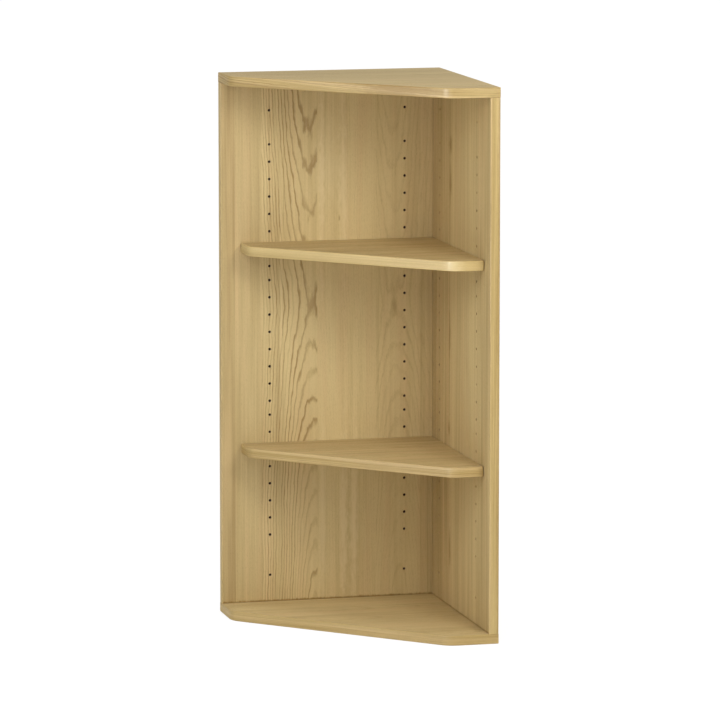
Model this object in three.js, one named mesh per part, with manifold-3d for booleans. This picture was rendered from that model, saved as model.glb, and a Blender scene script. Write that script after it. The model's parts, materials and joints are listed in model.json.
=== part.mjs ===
// A corner shelf unit that stands where two walls meet. Two upright panels at a right angle carry a top
// and a bottom board with a diagonal front. Two loose shelves of the same outline, set back from it, rest
// on pins that push into rows of holes. Millimetres, +Z up. The walls are at +X and +Y, and the open
// front faces -X and -Y. The origin is at the middle of the footprint, on the floor.
import * as THREE from 'three';
import { mergeVertices } from 'three/addons/utils/BufferGeometryUtils.js';
import Module from 'manifold-3d';

const wasm = await Module();
wasm.setup();

// Carcass
const overallHeight = 1000;
const wallLength = 418; // along each wall, from the outer corner
const boardThickness = 18;
const panelThickness = 18;
const endLength = 92; // straight end of the top and bottom boards, from the wall to the diagonal
const frontCornerRadius = 40;

// Edge band, glued round every visible edge
const bandThickness = 2;
const glueLine = 0.1;

// Rows of pin holes, two columns on the inner face of each panel
const holeDiameter = 5;
const holeDepth = 11;
const holePitch = 32;
const holesInGroup = 8;
const groupGap = 26;
const lowestGroupHole = 143.5;
const bottomHoleRise = 68; // single hole, above the floor
const topHoleDrop = 70; // single hole, below the top
const columnFromEnd = 91; // from the free end of the panel
const columnFromCorner = 53; // from the inner corner of the unit

// Loose shelves
const shelfThickness = 18;
const shelfRecess = 37; // behind the outline of the top and bottom boards
const shelfClearance = 1; // to each panel
const shelfFrontRadius = 32;
const shelfBackRadius = 4;
const lowerShelfHole = 5; // place in the first group of holes, counted from 0
const upperShelfHole = 1; // place in the last group of holes, counted from 0
const pinRise = 5.5; // axis of the pins above the underside of their shelf

// Shelf pins, turned from steel
const pinHeadDiameter = 7;
const pinHeadLength = 9;
const pinShankLength = 10.5;
const pinChamfer = 0.8;
const notchSideRoom = 1.5;
const notchEndRoom = 2;

// Knock-down fittings in both ends of each panel
const camDiameter = 15;
const camPocketDepth = 12.5;
const camToEnd = 34; // axis of the cam from the end of the panel
const camFromEnd = 60;
const camFromCorner = 90;
const camSlotWidth = 2;
const camSlotLength = 9;
const camSlotDepth = 2;
const boltShankDiameter = 7;
const boltHeadLength = 3;
const boltNeckDiameter = 4;
const boltNeckLength = 3;
const boltThreadDiameter = 6;
const boltThreadLength = 11;

// Beech dowels
const dowelDiameter = 8;
const dowelLength = 30;
const dowelInBoard = 11.5;
const dowelChamfer = 1;
const dowelFromEnd = 28;
const dowelFromCorner = 30;

// Screws and dowels that join the back panel to the side panel
const screwLength = 50;
const screwHeadDiameter = 10;
const screwHeadLength = 4.5;
const screwShankDiameter = 6.8;
const screwTipLength = 4;
const screwSocketDiameter = 4;
const screwSocketDepth = 2.5;
const screwEndDistance = 82; // from each end of the panel to the outer screws
const cornerDowelInPanel = 10;

// Clearances
const fitGap = 0.3; // between a bore and what sits in it
const boreEndRoom = 0.5; // past the end of a pin, bolt or dowel
const cutOverrun = 2; // cutters reach this far past a face

// Number of flat sides that stand for a full turn
const arcSides = 48;
const holeSides = 10;
const fittingSides = 12;

const panelBottom = boardThickness;
const panelTop = overallHeight - boardThickness;
const innerCorner = wallLength - panelThickness; // measured from the free end of a panel
const half = wallLength / 2;
const groupPitch = (holesInGroup - 1) * holePitch + groupGap;
const groupSpan = groupPitch - groupGap;
const groupCount = Math.floor((panelTop - lowestGroupHole - groupSpan) / groupPitch) + 1;
const nominalAxis = new THREE.Vector3(0, 1, 0); // lathes and cylinders are made along this

const oak = { color: 0xc7a873, roughness: 0.45, metalness: 0 };
const oakBand = { color: 0xd2b47f, roughness: 0.42, metalness: 0 };
const steel = { color: 0xb9bcc0, roughness: 0.3, metalness: 1 };
const zinc = { color: 0xa3a5a6, roughness: 0.42, metalness: 1 };
const beech = { color: 0xd9bd93, roughness: 0.7, metalness: 0 };

// A place given by its distances from the two walls and the floor
function fromCorner(u, v, z) {
  return new THREE.Vector3(half - u, half - v, z);
}

// The two panels. A place on one is its distance from the free end, its depth from the wall and its height.
const panels = [
  {
    name: 'back',
    roomward: new THREE.Vector3(0, -1, 0),
    place: (fromEnd, depth, z) => fromCorner(wallLength - fromEnd, depth, z),
  },
  {
    name: 'side',
    roomward: new THREE.Vector3(-1, 0, 0),
    place: (fromEnd, depth, z) => fromCorner(depth, wallLength - fromEnd, z),
  },
];

// The two ends of each panel, with the direction from the end face into the panel
const ends = [
  { name: 'top', z: panelTop, inward: new THREE.Vector3(0, 0, -1) },
  { name: 'bottom', z: panelBottom, inward: new THREE.Vector3(0, 0, 1) },
];

const columnPlaces = [columnFromEnd, innerCorner - columnFromCorner];
const camPlaces = [camFromEnd, innerCorner - camFromCorner];
const dowelPlaces = [dowelFromEnd, innerCorner - dowelFromCorner];

const shelves = [
  { name: 'upper_shelf', pinHeight: holeHeight(groupCount - 1, upperShelfHole) },
  { name: 'lower_shelf', pinHeight: holeHeight(0, lowerShelfHole) },
];

function holeHeight(groupNumber, holeNumber) {
  return lowestGroupHole + groupNumber * groupPitch + holeNumber * holePitch;
}

// Every hole height in one column, from the floor up
function columnHeights() {
  const heights = [bottomHoleRise];
  for (let groupNumber = 0; groupNumber < groupCount; groupNumber += 1) {
    for (let holeNumber = 0; holeNumber < holesInGroup; holeNumber += 1) {
      heights.push(holeHeight(groupNumber, holeNumber));
    }
  }
  heights.push(overallHeight - topHoleDrop);
  return heights;
}

function toSolid(geometry) {
  const bare = geometry.clone();
  bare.deleteAttribute('normal');
  bare.deleteAttribute('uv');
  const merged = mergeVertices(bare);
  return new wasm.Manifold(new wasm.Mesh({
    numProp: 3,
    vertProperties: new Float32Array(merged.attributes.position.array),
    triVerts: new Uint32Array(merged.index.array),
  }));
}

function toGeometry(solid) {
  const { vertProperties, triVerts } = solid.getMesh();
  const geometry = new THREE.BufferGeometry();
  geometry.setAttribute('position', new THREE.BufferAttribute(vertProperties, 3));
  geometry.setIndex(new THREE.BufferAttribute(triVerts, 1));
  geometry.computeVertexNormals();
  return geometry;
}

function cutAll(geometry, cutters) {
  let solid = toSolid(geometry);
  for (const cutter of cutters) solid = solid.subtract(toSolid(cutter));
  return toGeometry(solid);
}

// A box between two opposite corners
function block(cornerA, cornerB) {
  const box = new THREE.Box3().setFromPoints([cornerA, cornerB]);
  const size = box.getSize(new THREE.Vector3());
  const centre = box.getCenter(new THREE.Vector3());
  return new THREE.BoxGeometry(size.x, size.y, size.z).translate(centre.x, centre.y, centre.z);
}

// A round bore that starts outside a face and ends at a depth below it
function bore(mouth, direction, diameter, depth, sides) {
  const length = depth + cutOverrun;
  const radius = diameter / 2;
  const cylinder = new THREE.CylinderGeometry(radius, radius, length, sides);
  cylinder.translate(0, length / 2 - cutOverrun, 0);
  cylinder.applyQuaternion(turnTo(direction));
  return cylinder.translate(mouth.x, mouth.y, mouth.z);
}

function turnTo(direction) {
  return new THREE.Quaternion().setFromUnitVectors(nominalAxis, direction);
}

// The points of a path whose inner corners are rounded
function roundedPath(corners) {
  const points = [];
  corners.forEach((corner, number) => {
    if (!corner.radius) points.push(corner.point);
    else points.push(...cornerArc(corners[number - 1].point, corner, corners[number + 1].point));
  });
  return points;
}

function cornerArc(before, corner, after) {
  const toBefore = before.clone().sub(corner.point).normalize();
  const toAfter = after.clone().sub(corner.point).normalize();
  const halfAngle = toBefore.angleTo(toAfter) / 2;
  const bisector = toBefore.clone().add(toAfter).normalize();
  const centre = corner.point.clone().addScaledVector(bisector, corner.radius / Math.sin(halfAngle));
  const firstTangent = corner.point.clone().addScaledVector(toBefore, corner.radius / Math.tan(halfAngle));
  const firstSpoke = firstTangent.sub(centre);
  const turn = (Math.PI - 2 * halfAngle) * Math.sign(toAfter.cross(toBefore));
  const steps = Math.ceil((Math.abs(turn) / (2 * Math.PI)) * arcSides);
  const points = [];
  for (let step = 0; step <= steps; step += 1) {
    points.push(firstSpoke.clone().rotateAround(new THREE.Vector2(), (turn * step) / steps).add(centre));
  }
  return points;
}

function planPoint(u, v) {
  const { x, y } = fromCorner(u, v, 0);
  return new THREE.Vector2(x, y);
}

// How much nearer to the wall the diagonal starts when the outline moves inwards
function diagonalStart(inset) {
  return endLength - inset * Math.tan(Math.PI / 8);
}

// The free edge of the top and bottom boards, from wall to wall
function boardEdge(inset) {
  const reach = wallLength - inset;
  const start = diagonalStart(inset);
  const radius = frontCornerRadius - inset;
  return roundedPath([
    { point: planPoint(reach, 0) },
    { point: planPoint(reach, start), radius },
    { point: planPoint(start, reach), radius },
    { point: planPoint(0, reach) },
  ]);
}

// The free edge of a shelf, from where it leaves one panel to where it meets the other
function shelfEdge(inset) {
  const near = panelThickness + shelfClearance + inset;
  const reach = wallLength - shelfRecess - inset;
  const start = diagonalStart(shelfRecess + inset);
  const backRadius = shelfBackRadius - inset;
  const frontRadius = shelfFrontRadius - inset;
  const tangent = wallLength - shelfRecess - shelfBackRadius;
  return roundedPath([
    { point: planPoint(tangent, near) },
    { point: planPoint(reach, near), radius: backRadius },
    { point: planPoint(reach, start), radius: frontRadius },
    { point: planPoint(start, reach), radius: frontRadius },
    { point: planPoint(near, reach), radius: backRadius },
    { point: planPoint(near, tangent) },
  ]);
}

function slab(outline, lowZ, thickness) {
  const shape = new THREE.Shape(outline);
  const geometry = new THREE.ExtrudeGeometry(shape, { depth: thickness, bevelEnabled: false });
  return geometry.translate(0, 0, lowZ);
}

// A strip between an edge and the same edge one band thickness further in
function bandSlab(edge, lowZ, thickness) {
  return slab([...edge(0), ...edge(bandThickness).reverse()], lowZ, thickness);
}

function boardCutters(end) {
  const outward = end.inward.clone().negate();
  const cutters = [];
  for (const panel of panels) {
    for (const place of camPlaces) {
      const mouth = panel.place(place, panelThickness / 2, end.z);
      cutters.push(bore(mouth, outward, boltThreadDiameter + 2 * fitGap, boltThreadLength + boreEndRoom,
        holeSides));
    }
    for (const place of dowelPlaces) {
      const mouth = panel.place(place, panelThickness / 2, end.z);
      cutters.push(bore(mouth, outward, dowelDiameter + 2 * fitGap, dowelInBoard + boreEndRoom, holeSides));
    }
  }
  return cutters;
}

function boardGeometry(end) {
  const lowZ = end.name === 'top' ? panelTop : 0;
  const outline = [planPoint(0, 0), ...boardEdge(bandThickness + glueLine)];
  return cutAll(slab(outline, lowZ, boardThickness), boardCutters(end));
}

function pinHoleCutters(panel) {
  const wallward = panel.roomward.clone().negate();
  const cutters = [];
  for (const place of columnPlaces) {
    for (const height of columnHeights()) {
      cutters.push(bore(panel.place(place, panelThickness, height), wallward, holeDiameter, holeDepth,
        holeSides));
    }
  }
  return cutters;
}

function fittingCutters(panel) {
  const cutters = [];
  const boltDiameter = boltShankDiameter + 2 * fitGap;
  for (const end of ends) {
    for (const place of camPlaces) {
      const camAxis = panel.place(place, 0, end.z).addScaledVector(end.inward, camToEnd);
      cutters.push(bore(camAxis, panel.roomward, camDiameter, camPocketDepth, fittingSides));
      const boltMouth = panel.place(place, panelThickness / 2, end.z);
      cutters.push(bore(boltMouth, end.inward, boltDiameter, camToEnd, holeSides));
    }
    for (const place of dowelPlaces) {
      const mouth = panel.place(place, panelThickness / 2, end.z);
      const depth = dowelLength - dowelInBoard + boreEndRoom;
      cutters.push(bore(mouth, end.inward, dowelDiameter + 2 * fitGap, depth, holeSides));
    }
  }
  return cutters;
}

// Heights of the screws that join the panels, and of the dowels between them
function cornerHeights() {
  const lowScrew = panelBottom + screwEndDistance;
  const highScrew = panelTop - screwEndDistance;
  const middle = (lowScrew + highScrew) / 2;
  return {
    screws: [lowScrew, middle, highScrew],
    dowels: [(lowScrew + middle) / 2, (middle + highScrew) / 2],
  };
}

function cornerJointCutters(panelName) {
  const roomward = panels[0].roomward;
  const wallward = roomward.clone().negate();
  const cutters = [];
  const { screws, dowels } = cornerHeights();
  const shankBore = screwShankDiameter + 2 * fitGap;
  const headBore = screwHeadDiameter + 2 * fitGap;
  const dowelBore = dowelDiameter + 2 * fitGap;
  for (const height of screws) {
    const outerMouth = fromCorner(panelThickness / 2, 0, height);
    cutters.push(bore(outerMouth, roomward, shankBore, screwLength + boreEndRoom, holeSides));
    if (panelName === 'back') {
      cutters.push(bore(outerMouth, roomward, headBore, screwHeadLength + 2 * fitGap, fittingSides));
    }
  }
  for (const height of dowels) {
    const mouth = fromCorner(panelThickness / 2, panelThickness, height);
    const inBack = cornerDowelInPanel + boreEndRoom;
    const inSide = dowelLength - cornerDowelInPanel + boreEndRoom;
    if (panelName === 'back') cutters.push(bore(mouth, wallward, dowelBore, inBack, holeSides));
    else cutters.push(bore(mouth, roomward, dowelBore, inSide, holeSides));
  }
  return cutters;
}

function panelGeometry(panel) {
  const coreEnd = bandThickness + glueLine;
  const cornerEnd = panel.name === 'back' ? wallLength : innerCorner;
  const core = block(panel.place(coreEnd, 0, panelBottom), panel.place(cornerEnd, panelThickness, panelTop));
  const cutters = [...pinHoleCutters(panel), ...fittingCutters(panel), ...cornerJointCutters(panel.name)];
  return cutAll(core, cutters);
}

function panelBandGeometry(panel) {
  return block(panel.place(0, 0, panelBottom), panel.place(bandThickness, panelThickness, panelTop));
}

// Blind notches under the shelf, open at its back edge, that drop over the pins
function notchCutters(shelf) {
  const underside = shelf.pinHeight - pinRise;
  const ceiling = shelf.pinHeight + pinHeadDiameter / 2 + fitGap;
  const halfWidth = pinHeadDiameter / 2 + notchSideRoom;
  const depth = panelThickness + fitGap + pinHeadLength + pinShankLength + boreEndRoom + notchEndRoom;
  const cutters = [];
  for (const panel of panels) {
    for (const place of columnPlaces) {
      cutters.push(block(
        panel.place(place - halfWidth, panelThickness, underside - cutOverrun),
        panel.place(place + halfWidth, depth, ceiling),
      ));
    }
  }
  return cutters;
}

function shelfGeometry(shelf) {
  const near = panelThickness + shelfClearance;
  const bandEnd = wallLength - shelfRecess - shelfBackRadius - glueLine;
  const outline = [
    planPoint(near, near),
    planPoint(bandEnd, near),
    planPoint(bandEnd, near + bandThickness + glueLine),
    ...shelfEdge(bandThickness + glueLine),
    planPoint(near + bandThickness + glueLine, bandEnd),
    planPoint(near, bandEnd),
  ];
  return cutAll(slab(outline, shelf.pinHeight - pinRise, shelfThickness), notchCutters(shelf));
}

// Turned profiles: pairs of radius and place along the axis, from one end on the axis to the other
function turned(profile, sides) {
  return new THREE.LatheGeometry(profile.map(([radius, y]) => new THREE.Vector2(radius, y)), sides);
}

// The axis starts at the mouth of the hole, with the head on the positive side
function pinGeometry() {
  const shank = holeDiameter / 2 - fitGap;
  const head = pinHeadDiameter / 2;
  const headEnd = fitGap + pinHeadLength;
  return turned([
    [0, -pinShankLength],
    [shank - pinChamfer, -pinShankLength],
    [shank, -pinShankLength + pinChamfer],
    [shank, fitGap],
    [head, fitGap],
    [head, headEnd - pinChamfer],
    [head - pinChamfer, headEnd],
    [0, headEnd],
  ], fittingSides);
}

// The axis starts at the end face of the panel, with the thread on the positive side
function boltGeometry() {
  const shank = boltShankDiameter / 2;
  const neck = boltNeckDiameter / 2;
  const thread = boltThreadDiameter / 2;
  const headEnd = -camToEnd - boltHeadLength / 2 + boreEndRoom;
  return turned([
    [0, headEnd],
    [shank, headEnd],
    [shank, headEnd + boltHeadLength],
    [neck, headEnd + boltHeadLength],
    [neck, headEnd + boltHeadLength + boltNeckLength],
    [shank, headEnd + boltHeadLength + boltNeckLength],
    [shank, -fitGap],
    [thread, -fitGap],
    [thread, boltThreadLength],
    [0, boltThreadLength],
  ], holeSides);
}

// The axis starts at the outer face of the panel and runs into it. The bolt enters along the given way.
function camGeometry(camAxis, roomward, boltWay) {
  const radius = camDiameter / 2 - fitGap;
  const length = camPocketDepth - 2 * fitGap;
  const body = new THREE.CylinderGeometry(radius, radius, length, fittingSides);
  body.translate(0, fitGap + length / 2, 0);
  body.applyQuaternion(turnTo(roomward));
  body.translate(camAxis.x, camAxis.y, camAxis.z);
  const boltAxis = camAxis.clone().addScaledVector(roomward, panelThickness / 2);
  const boltMouth = boltAxis.clone().addScaledVector(boltWay, -camDiameter / 2);
  const channel = boltShankDiameter + 2 * fitGap;
  const channelDepth = camDiameter / 2 + boltHeadLength / 2 + fitGap;
  return cutAll(body, [
    bore(boltMouth, boltWay, channel, channelDepth, holeSides),
    ...camSlotCutters(camAxis, roomward),
  ]);
}

// Cross slot for the screwdriver in the face of a cam
function camSlotCutters(camAxis, roomward) {
  const across = new THREE.Vector3().crossVectors(roomward, new THREE.Vector3(0, 0, 1));
  const upward = new THREE.Vector3(0, 0, 1);
  const from = camAxis.clone().addScaledVector(roomward, fitGap - cutOverrun);
  const to = camAxis.clone().addScaledVector(roomward, fitGap + camSlotDepth);
  const bar = (longWay, shortWay) => block(
    from.clone().addScaledVector(longWay, -camSlotLength / 2).addScaledVector(shortWay, -camSlotWidth / 2),
    to.clone().addScaledVector(longWay, camSlotLength / 2).addScaledVector(shortWay, camSlotWidth / 2),
  );
  return [bar(across, upward), bar(upward, across)];
}

// The axis starts where the two joined pieces meet
function dowelGeometry(positiveLength) {
  const radius = dowelDiameter / 2;
  const low = positiveLength - dowelLength;
  return turned([
    [0, low],
    [radius - dowelChamfer, low],
    [radius, low + dowelChamfer],
    [radius, positiveLength - dowelChamfer],
    [radius - dowelChamfer, positiveLength],
    [0, positiveLength],
  ], holeSides);
}

// The axis starts at the outer face of the back panel and runs into the side panel
function screwGeometry() {
  const head = screwHeadDiameter / 2;
  const shank = screwShankDiameter / 2;
  const socket = screwSocketDiameter / 2;
  return turned([
    [0, fitGap + screwSocketDepth],
    [socket, fitGap + screwSocketDepth],
    [socket, fitGap],
    [head, fitGap],
    [head, fitGap + screwHeadLength],
    [shank, fitGap + screwHeadLength],
    [shank, screwLength - screwTipLength],
    [0, screwLength],
  ], holeSides);
}

const group = new THREE.Group();

function addMesh(name, geometry, look, position, direction) {
  const mesh = new THREE.Mesh(geometry, new THREE.MeshStandardMaterial(look));
  mesh.name = name;
  if (position) mesh.position.copy(position);
  if (direction) mesh.quaternion.copy(turnTo(direction));
  group.add(mesh);
}

function addCarcass() {
  for (const end of ends) {
    const lowZ = end.name === 'top' ? panelTop : 0;
    addMesh(`${end.name}_board`, boardGeometry(end), oak);
    addMesh(`${end.name}_board_edge_band`, bandSlab(boardEdge, lowZ, boardThickness), oakBand);
  }
  for (const panel of panels) {
    addMesh(`${panel.name}_panel`, panelGeometry(panel), oak);
    addMesh(`${panel.name}_panel_edge_band`, panelBandGeometry(panel), oakBand);
  }
}

function addShelf(shelf) {
  const underside = shelf.pinHeight - pinRise;
  addMesh(shelf.name, shelfGeometry(shelf), oak);
  addMesh(`${shelf.name}_edge_band`, bandSlab(shelfEdge, underside, shelfThickness), oakBand);
  for (const panel of panels) {
    columnPlaces.forEach((place, number) => {
      const mouth = panel.place(place, panelThickness, shelf.pinHeight);
      addMesh(`${shelf.name}_${panel.name}_pin_${number + 1}`, pinGeometry(), steel, mouth, panel.roomward);
    });
  }
}

function addPanelFittings(panel, end) {
  const outward = end.inward.clone().negate();
  const label = `${panel.name}_${end.name}`;
  camPlaces.forEach((place, number) => {
    const endPoint = panel.place(place, panelThickness / 2, end.z);
    const camAxis = panel.place(place, 0, end.z).addScaledVector(end.inward, camToEnd);
    addMesh(`${label}_cam_bolt_${number + 1}`, boltGeometry(), steel, endPoint, outward);
    addMesh(`${label}_cam_lock_${number + 1}`, camGeometry(camAxis, panel.roomward, end.inward), zinc);
  });
  dowelPlaces.forEach((place, number) => {
    const endPoint = panel.place(place, panelThickness / 2, end.z);
    addMesh(`${label}_dowel_${number + 1}`, dowelGeometry(dowelInBoard), beech, endPoint, outward);
  });
}

function addCornerJoint() {
  const roomward = panels[0].roomward;
  const wallward = roomward.clone().negate();
  const { screws, dowels } = cornerHeights();
  screws.forEach((height, number) => {
    const mouth = fromCorner(panelThickness / 2, 0, height);
    addMesh(`corner_screw_${number + 1}`, screwGeometry(), steel, mouth, roomward);
  });
  dowels.forEach((height, number) => {
    const mouth = fromCorner(panelThickness / 2, panelThickness, height);
    addMesh(`corner_dowel_${number + 1}`, dowelGeometry(cornerDowelInPanel), beech, mouth, wallward);
  });
}

addCarcass();
for (const shelf of shelves) addShelf(shelf);
for (const panel of panels) {
  for (const end of ends) addPanelFittings(panel, end);
}
addCornerJoint();

export default group;
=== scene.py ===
"""A corner shelf unit in oak veneer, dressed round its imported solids.

Metres, +Z up. The walls stand at +X and +Y, and the open front faces -X and -Y. A place in plan is often
given as u and v, its distances from the +X wall and from the +Y wall.
"""

import json
import math

import bmesh
import bpy
from mathutils import Matrix, Vector

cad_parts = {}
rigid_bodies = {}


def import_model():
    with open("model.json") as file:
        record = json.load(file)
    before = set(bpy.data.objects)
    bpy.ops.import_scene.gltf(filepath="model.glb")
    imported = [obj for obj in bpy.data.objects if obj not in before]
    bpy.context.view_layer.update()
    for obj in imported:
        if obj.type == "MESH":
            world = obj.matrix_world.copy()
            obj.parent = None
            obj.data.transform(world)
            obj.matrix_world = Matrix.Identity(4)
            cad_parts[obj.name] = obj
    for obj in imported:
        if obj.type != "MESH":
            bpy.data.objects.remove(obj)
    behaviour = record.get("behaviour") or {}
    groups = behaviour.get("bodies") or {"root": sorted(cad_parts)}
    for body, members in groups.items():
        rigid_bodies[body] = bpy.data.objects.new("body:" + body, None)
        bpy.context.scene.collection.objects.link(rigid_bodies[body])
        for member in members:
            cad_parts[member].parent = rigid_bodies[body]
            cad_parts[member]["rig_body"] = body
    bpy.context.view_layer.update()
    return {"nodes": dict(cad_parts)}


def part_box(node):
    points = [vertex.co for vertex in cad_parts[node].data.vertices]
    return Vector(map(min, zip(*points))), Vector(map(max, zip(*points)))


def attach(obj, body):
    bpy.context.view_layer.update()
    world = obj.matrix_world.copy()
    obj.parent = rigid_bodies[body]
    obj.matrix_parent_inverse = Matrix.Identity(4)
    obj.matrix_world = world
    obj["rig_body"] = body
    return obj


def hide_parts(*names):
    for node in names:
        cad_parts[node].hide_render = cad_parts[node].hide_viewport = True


bl_info = {
    "name": "Corner Shelf Unit",
    "version": (1, 0, 0),
    "blender": (4, 5, 0),
    "location": "3D View > Sidebar > Shelf Unit",
    "description": "A corner shelf unit in oak veneer with two loose shelves on pins",
    "category": "Object",
}

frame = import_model()
NODES = frame["nodes"]

MM = 0.001
TINY = 1e-6
UP = Vector((0, 0, 1))
TO_ROOM = {"back": Vector((0, -1, 0)), "side": Vector((-1, 0, 0))}  # from each panel
TO_BOARD = {"top": UP, "bottom": -UP}  # from each end of a panel
THROUGH = {"back": 1, "side": 0}  # number of the axis that runs through each panel

WALL_X, WALL_Y, TOP_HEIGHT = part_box("top_board")[1]
FREE_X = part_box("top_board_edge_band")[0].x
REACH = WALL_X - FREE_X
BAND_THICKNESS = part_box("back_panel_edge_band")[1].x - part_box("back_panel_edge_band")[0].x
GLUE_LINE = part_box("back_panel")[0].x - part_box("back_panel_edge_band")[1].x
PANEL_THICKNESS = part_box("back_panel")[1].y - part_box("back_panel")[0].y
SHELF_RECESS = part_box("upper_shelf_edge_band")[0].x - FREE_X
SHELF_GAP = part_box("back_panel")[0].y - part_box("upper_shelf")[1].y
SHELF_NEAR = PANEL_THICKNESS + SHELF_GAP
SHELF_REACH = REACH - SHELF_RECESS


def plan(u, v, z=0.0):
    """The point at distances u and v from the two walls, at height z."""
    return Vector((WALL_X - u, WALL_Y - v, z))


# Properties

def length(name, about, value):
    """A length property in metres."""
    return bpy.props.FloatProperty(name=name, description=about, default=value, unit="LENGTH", precision=5)


def share(name, about, value, most=1.0):
    """A plain number property between nothing and most."""
    return bpy.props.FloatProperty(name=name, description=about, default=value, min=0.0, max=most)


def angle(name, about, degrees):
    """An angle property, given in degrees."""
    return bpy.props.FloatProperty(name=name, description=about, default=math.radians(degrees),
                                   subtype="ANGLE", unit="ROTATION")


def linear(part):
    """One sRGB part, 0 to 255, as scene linear."""
    level = part / 255
    return level / 12.92 if level <= 0.04045 else ((level + 0.055) / 1.055) ** 2.4


def rgb(red, green, blue):
    """A colour written as on a paint chart, in scene linear."""
    return (linear(red), linear(green), linear(blue))


def colour(name, about, value):
    """A colour property."""
    return bpy.props.FloatVectorProperty(name=name, description=about, default=value, subtype="COLOR",
                                         min=0.0, max=1.0)


class UnitSizes(bpy.types.PropertyGroup):
    """Sizes of the boards, edges and holes."""

    end_length: length("End length", "Straight end of the top and bottom boards, beside each wall", 0.092)
    corner_radius: length("Corner radius", "Round front corners of the top and bottom boards", 0.040)
    shelf_front_radius: length("Shelf front radius", "Round front corners of the shelves", 0.032)
    shelf_back_radius: length("Shelf back radius", "Eased corners where a shelf meets the panels", 0.0024)
    joint_arris: length("Joint arris", "Rounding of a panel's edges in the corners of the unit", 0.0013)
    arris: length("Arris", "Rounding of the long edges of the edging", 0.0016)
    eased_edge: length("Eased edge", "Rounding of the bare long edges of boards and panels", 0.0004)
    hole_diameter: length("Hole diameter", "Pin holes", 0.005)
    hole_depth: length("Hole depth", "Pin holes", 0.011)
    hole_pitch: length("Hole pitch", "Between two holes of a group", 0.032)
    group_gap: length("Group gap", "From the last hole of a group to the first of the next", 0.026)
    lowest_group_hole: length("Lowest group hole", "First hole of the lowest group, above the floor", 0.1435)
    bottom_hole: length("Bottom hole", "Single hole, above the floor", 0.068)
    top_hole_drop: length("Top hole drop", "Single hole, below the top", 0.070)
    column_from_end: length("Column from end", "Outer column of holes, from the panel's free end", 0.091)
    column_from_corner: length("Column from corner", "Inner column of holes, from the inner corner", 0.053)
    holes_in_group: bpy.props.IntProperty(name="Holes in group", description="Pin holes of one group",
                                          default=8, min=1)
    groups: bpy.props.IntProperty(name="Groups", description="Groups of holes in a column", default=3, min=1)
    notch_width: length("Notch width", "Notch under a shelf that drops over a pin", 0.010)
    notch_reach: length("Notch reach", "From the panel's face to the end of a notch", 0.0223)
    notch_above_pin: length("Notch above pin", "From the top of a pin's head to the notch above", 0.0003)


class OakLook(bpy.types.PropertyGroup):
    """Colours and figure of the oak."""

    light: colour("Light wood", "Plain wood of the veneer", rgb(212, 190, 137))
    dark: colour("Dark wood", "Darkest streaks of the veneer", rgb(176, 150, 100))
    edging_light: colour("Light edging", "Plain wood of the edging", rgb(212, 187, 128))
    edging_dark: colour("Dark edging", "Darkest streaks of the edging", rgb(174, 146, 88))
    # This colour also tints the dark marks, among them painted shade in the corner of the unit, along the
    # panels' joints with the bottom board and on the side edging's outer arris.
    ring: colour("Ring", "Porous early wood of each year", rgb(148, 116, 62))
    pore: colour("Pore", "Open pores", rgb(112, 82, 44))
    blush: colour("Blush", "Pinkish streaks", rgb(209, 181, 131))
    core: colour("Core board", "Board under the veneer, seen at bare edges", rgb(176, 142, 98))
    # Painted shade: the bores darken to this colour the deeper they go.
    bore: colour("Bore", "Bottom of the drilled holes", rgb(70, 38, 10))
    # This colour also lays the painted highlight on the upper shelf's front corner.
    pale: colour("Pale streak", "Lightest streaks of the veneer", rgb(228, 208, 158))
    roughness: share("Roughness", "Satin lacquer", 0.44)
    pore_depth: length("Pore depth", "Depth of the open pores", 0.00006)


class FittingLook(bpy.types.PropertyGroup):
    """Colours of the fittings."""

    steel: colour("Steel", "Plated pins, bolts and screws", rgb(190, 192, 196))
    zinc: colour("Zinc", "Die-cast cam locks", rgb(160, 161, 162))
    beech: colour("Beech", "Dowels", rgb(222, 192, 150))


class StageLook(bpy.types.PropertyGroup):
    """Camera, lamps and floor."""

    camera_place: bpy.props.FloatVectorProperty(
        name="Camera place", description="Where the camera stands", default=(-2.2425, -8.9503, 1.8273),
        subtype="TRANSLATION", unit="LENGTH")
    camera_yaw: angle("Camera yaw", "Turn from +Y towards +X", 14.098)
    camera_pitch: angle("Camera pitch", "Look down from level", 8.235)
    camera_lens: bpy.props.FloatProperty(
        name="Lens", description="Focal length in millimetres on a 36 mm sensor", default=257.84)
    surround: share("Surround", "Light from all round", 0.49, most=4.0)
    mirrored_surround: share("Mirrored surround", "Surround as reflections show it", 0.30, most=4.0)
    floor_size: length("Floor size", "Side of the square floor", 160.0)
    floor_colour: colour("Floor", "Pale floor", rgb(240, 240, 238))
    floor_glow: share("Floor glow", "How far the floor fades to the white surround", 0.75)
    floor_level: share("Floor level", "Brightness of the white that the floor fades to", 1.13, most=4.0)


# Object and mesh helpers

def deselect():
    """Leaves edit mode and drops every selection."""
    if bpy.context.object and bpy.context.object.mode != "OBJECT":
        bpy.ops.object.mode_set(mode="OBJECT")
    bpy.ops.object.select_all(action="DESELECT")


def take(piece):
    """Makes this the one selected and active object."""
    deselect()
    piece.select_set(True)
    bpy.context.view_layer.objects.active = piece


def settle(piece, name):
    """Names an object and moves its place, turn and size into its mesh."""
    piece.name = name
    take(piece)
    bpy.ops.object.transform_apply(location=True, rotation=True, scale=True)
    return piece


def edit(piece, kind="VERT"):
    """Opens a piece in edit mode with nothing selected."""
    take(piece)
    bpy.ops.object.mode_set(mode="EDIT")
    bpy.ops.mesh.select_mode(type=kind)
    bpy.ops.mesh.select_all(action="DESELECT")


def pick(piece, part, test):
    """Selects the vertices, edges or faces that pass a test, in edit mode. Returns their number."""
    mesh = bmesh.from_edit_mesh(piece.data)
    found = [item for item in getattr(mesh, part) if test(item)]
    for item in found:
        item.select_set(True)
    mesh.select_flush_mode()
    bmesh.update_edit_mesh(piece.data)
    return len(found)


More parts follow.
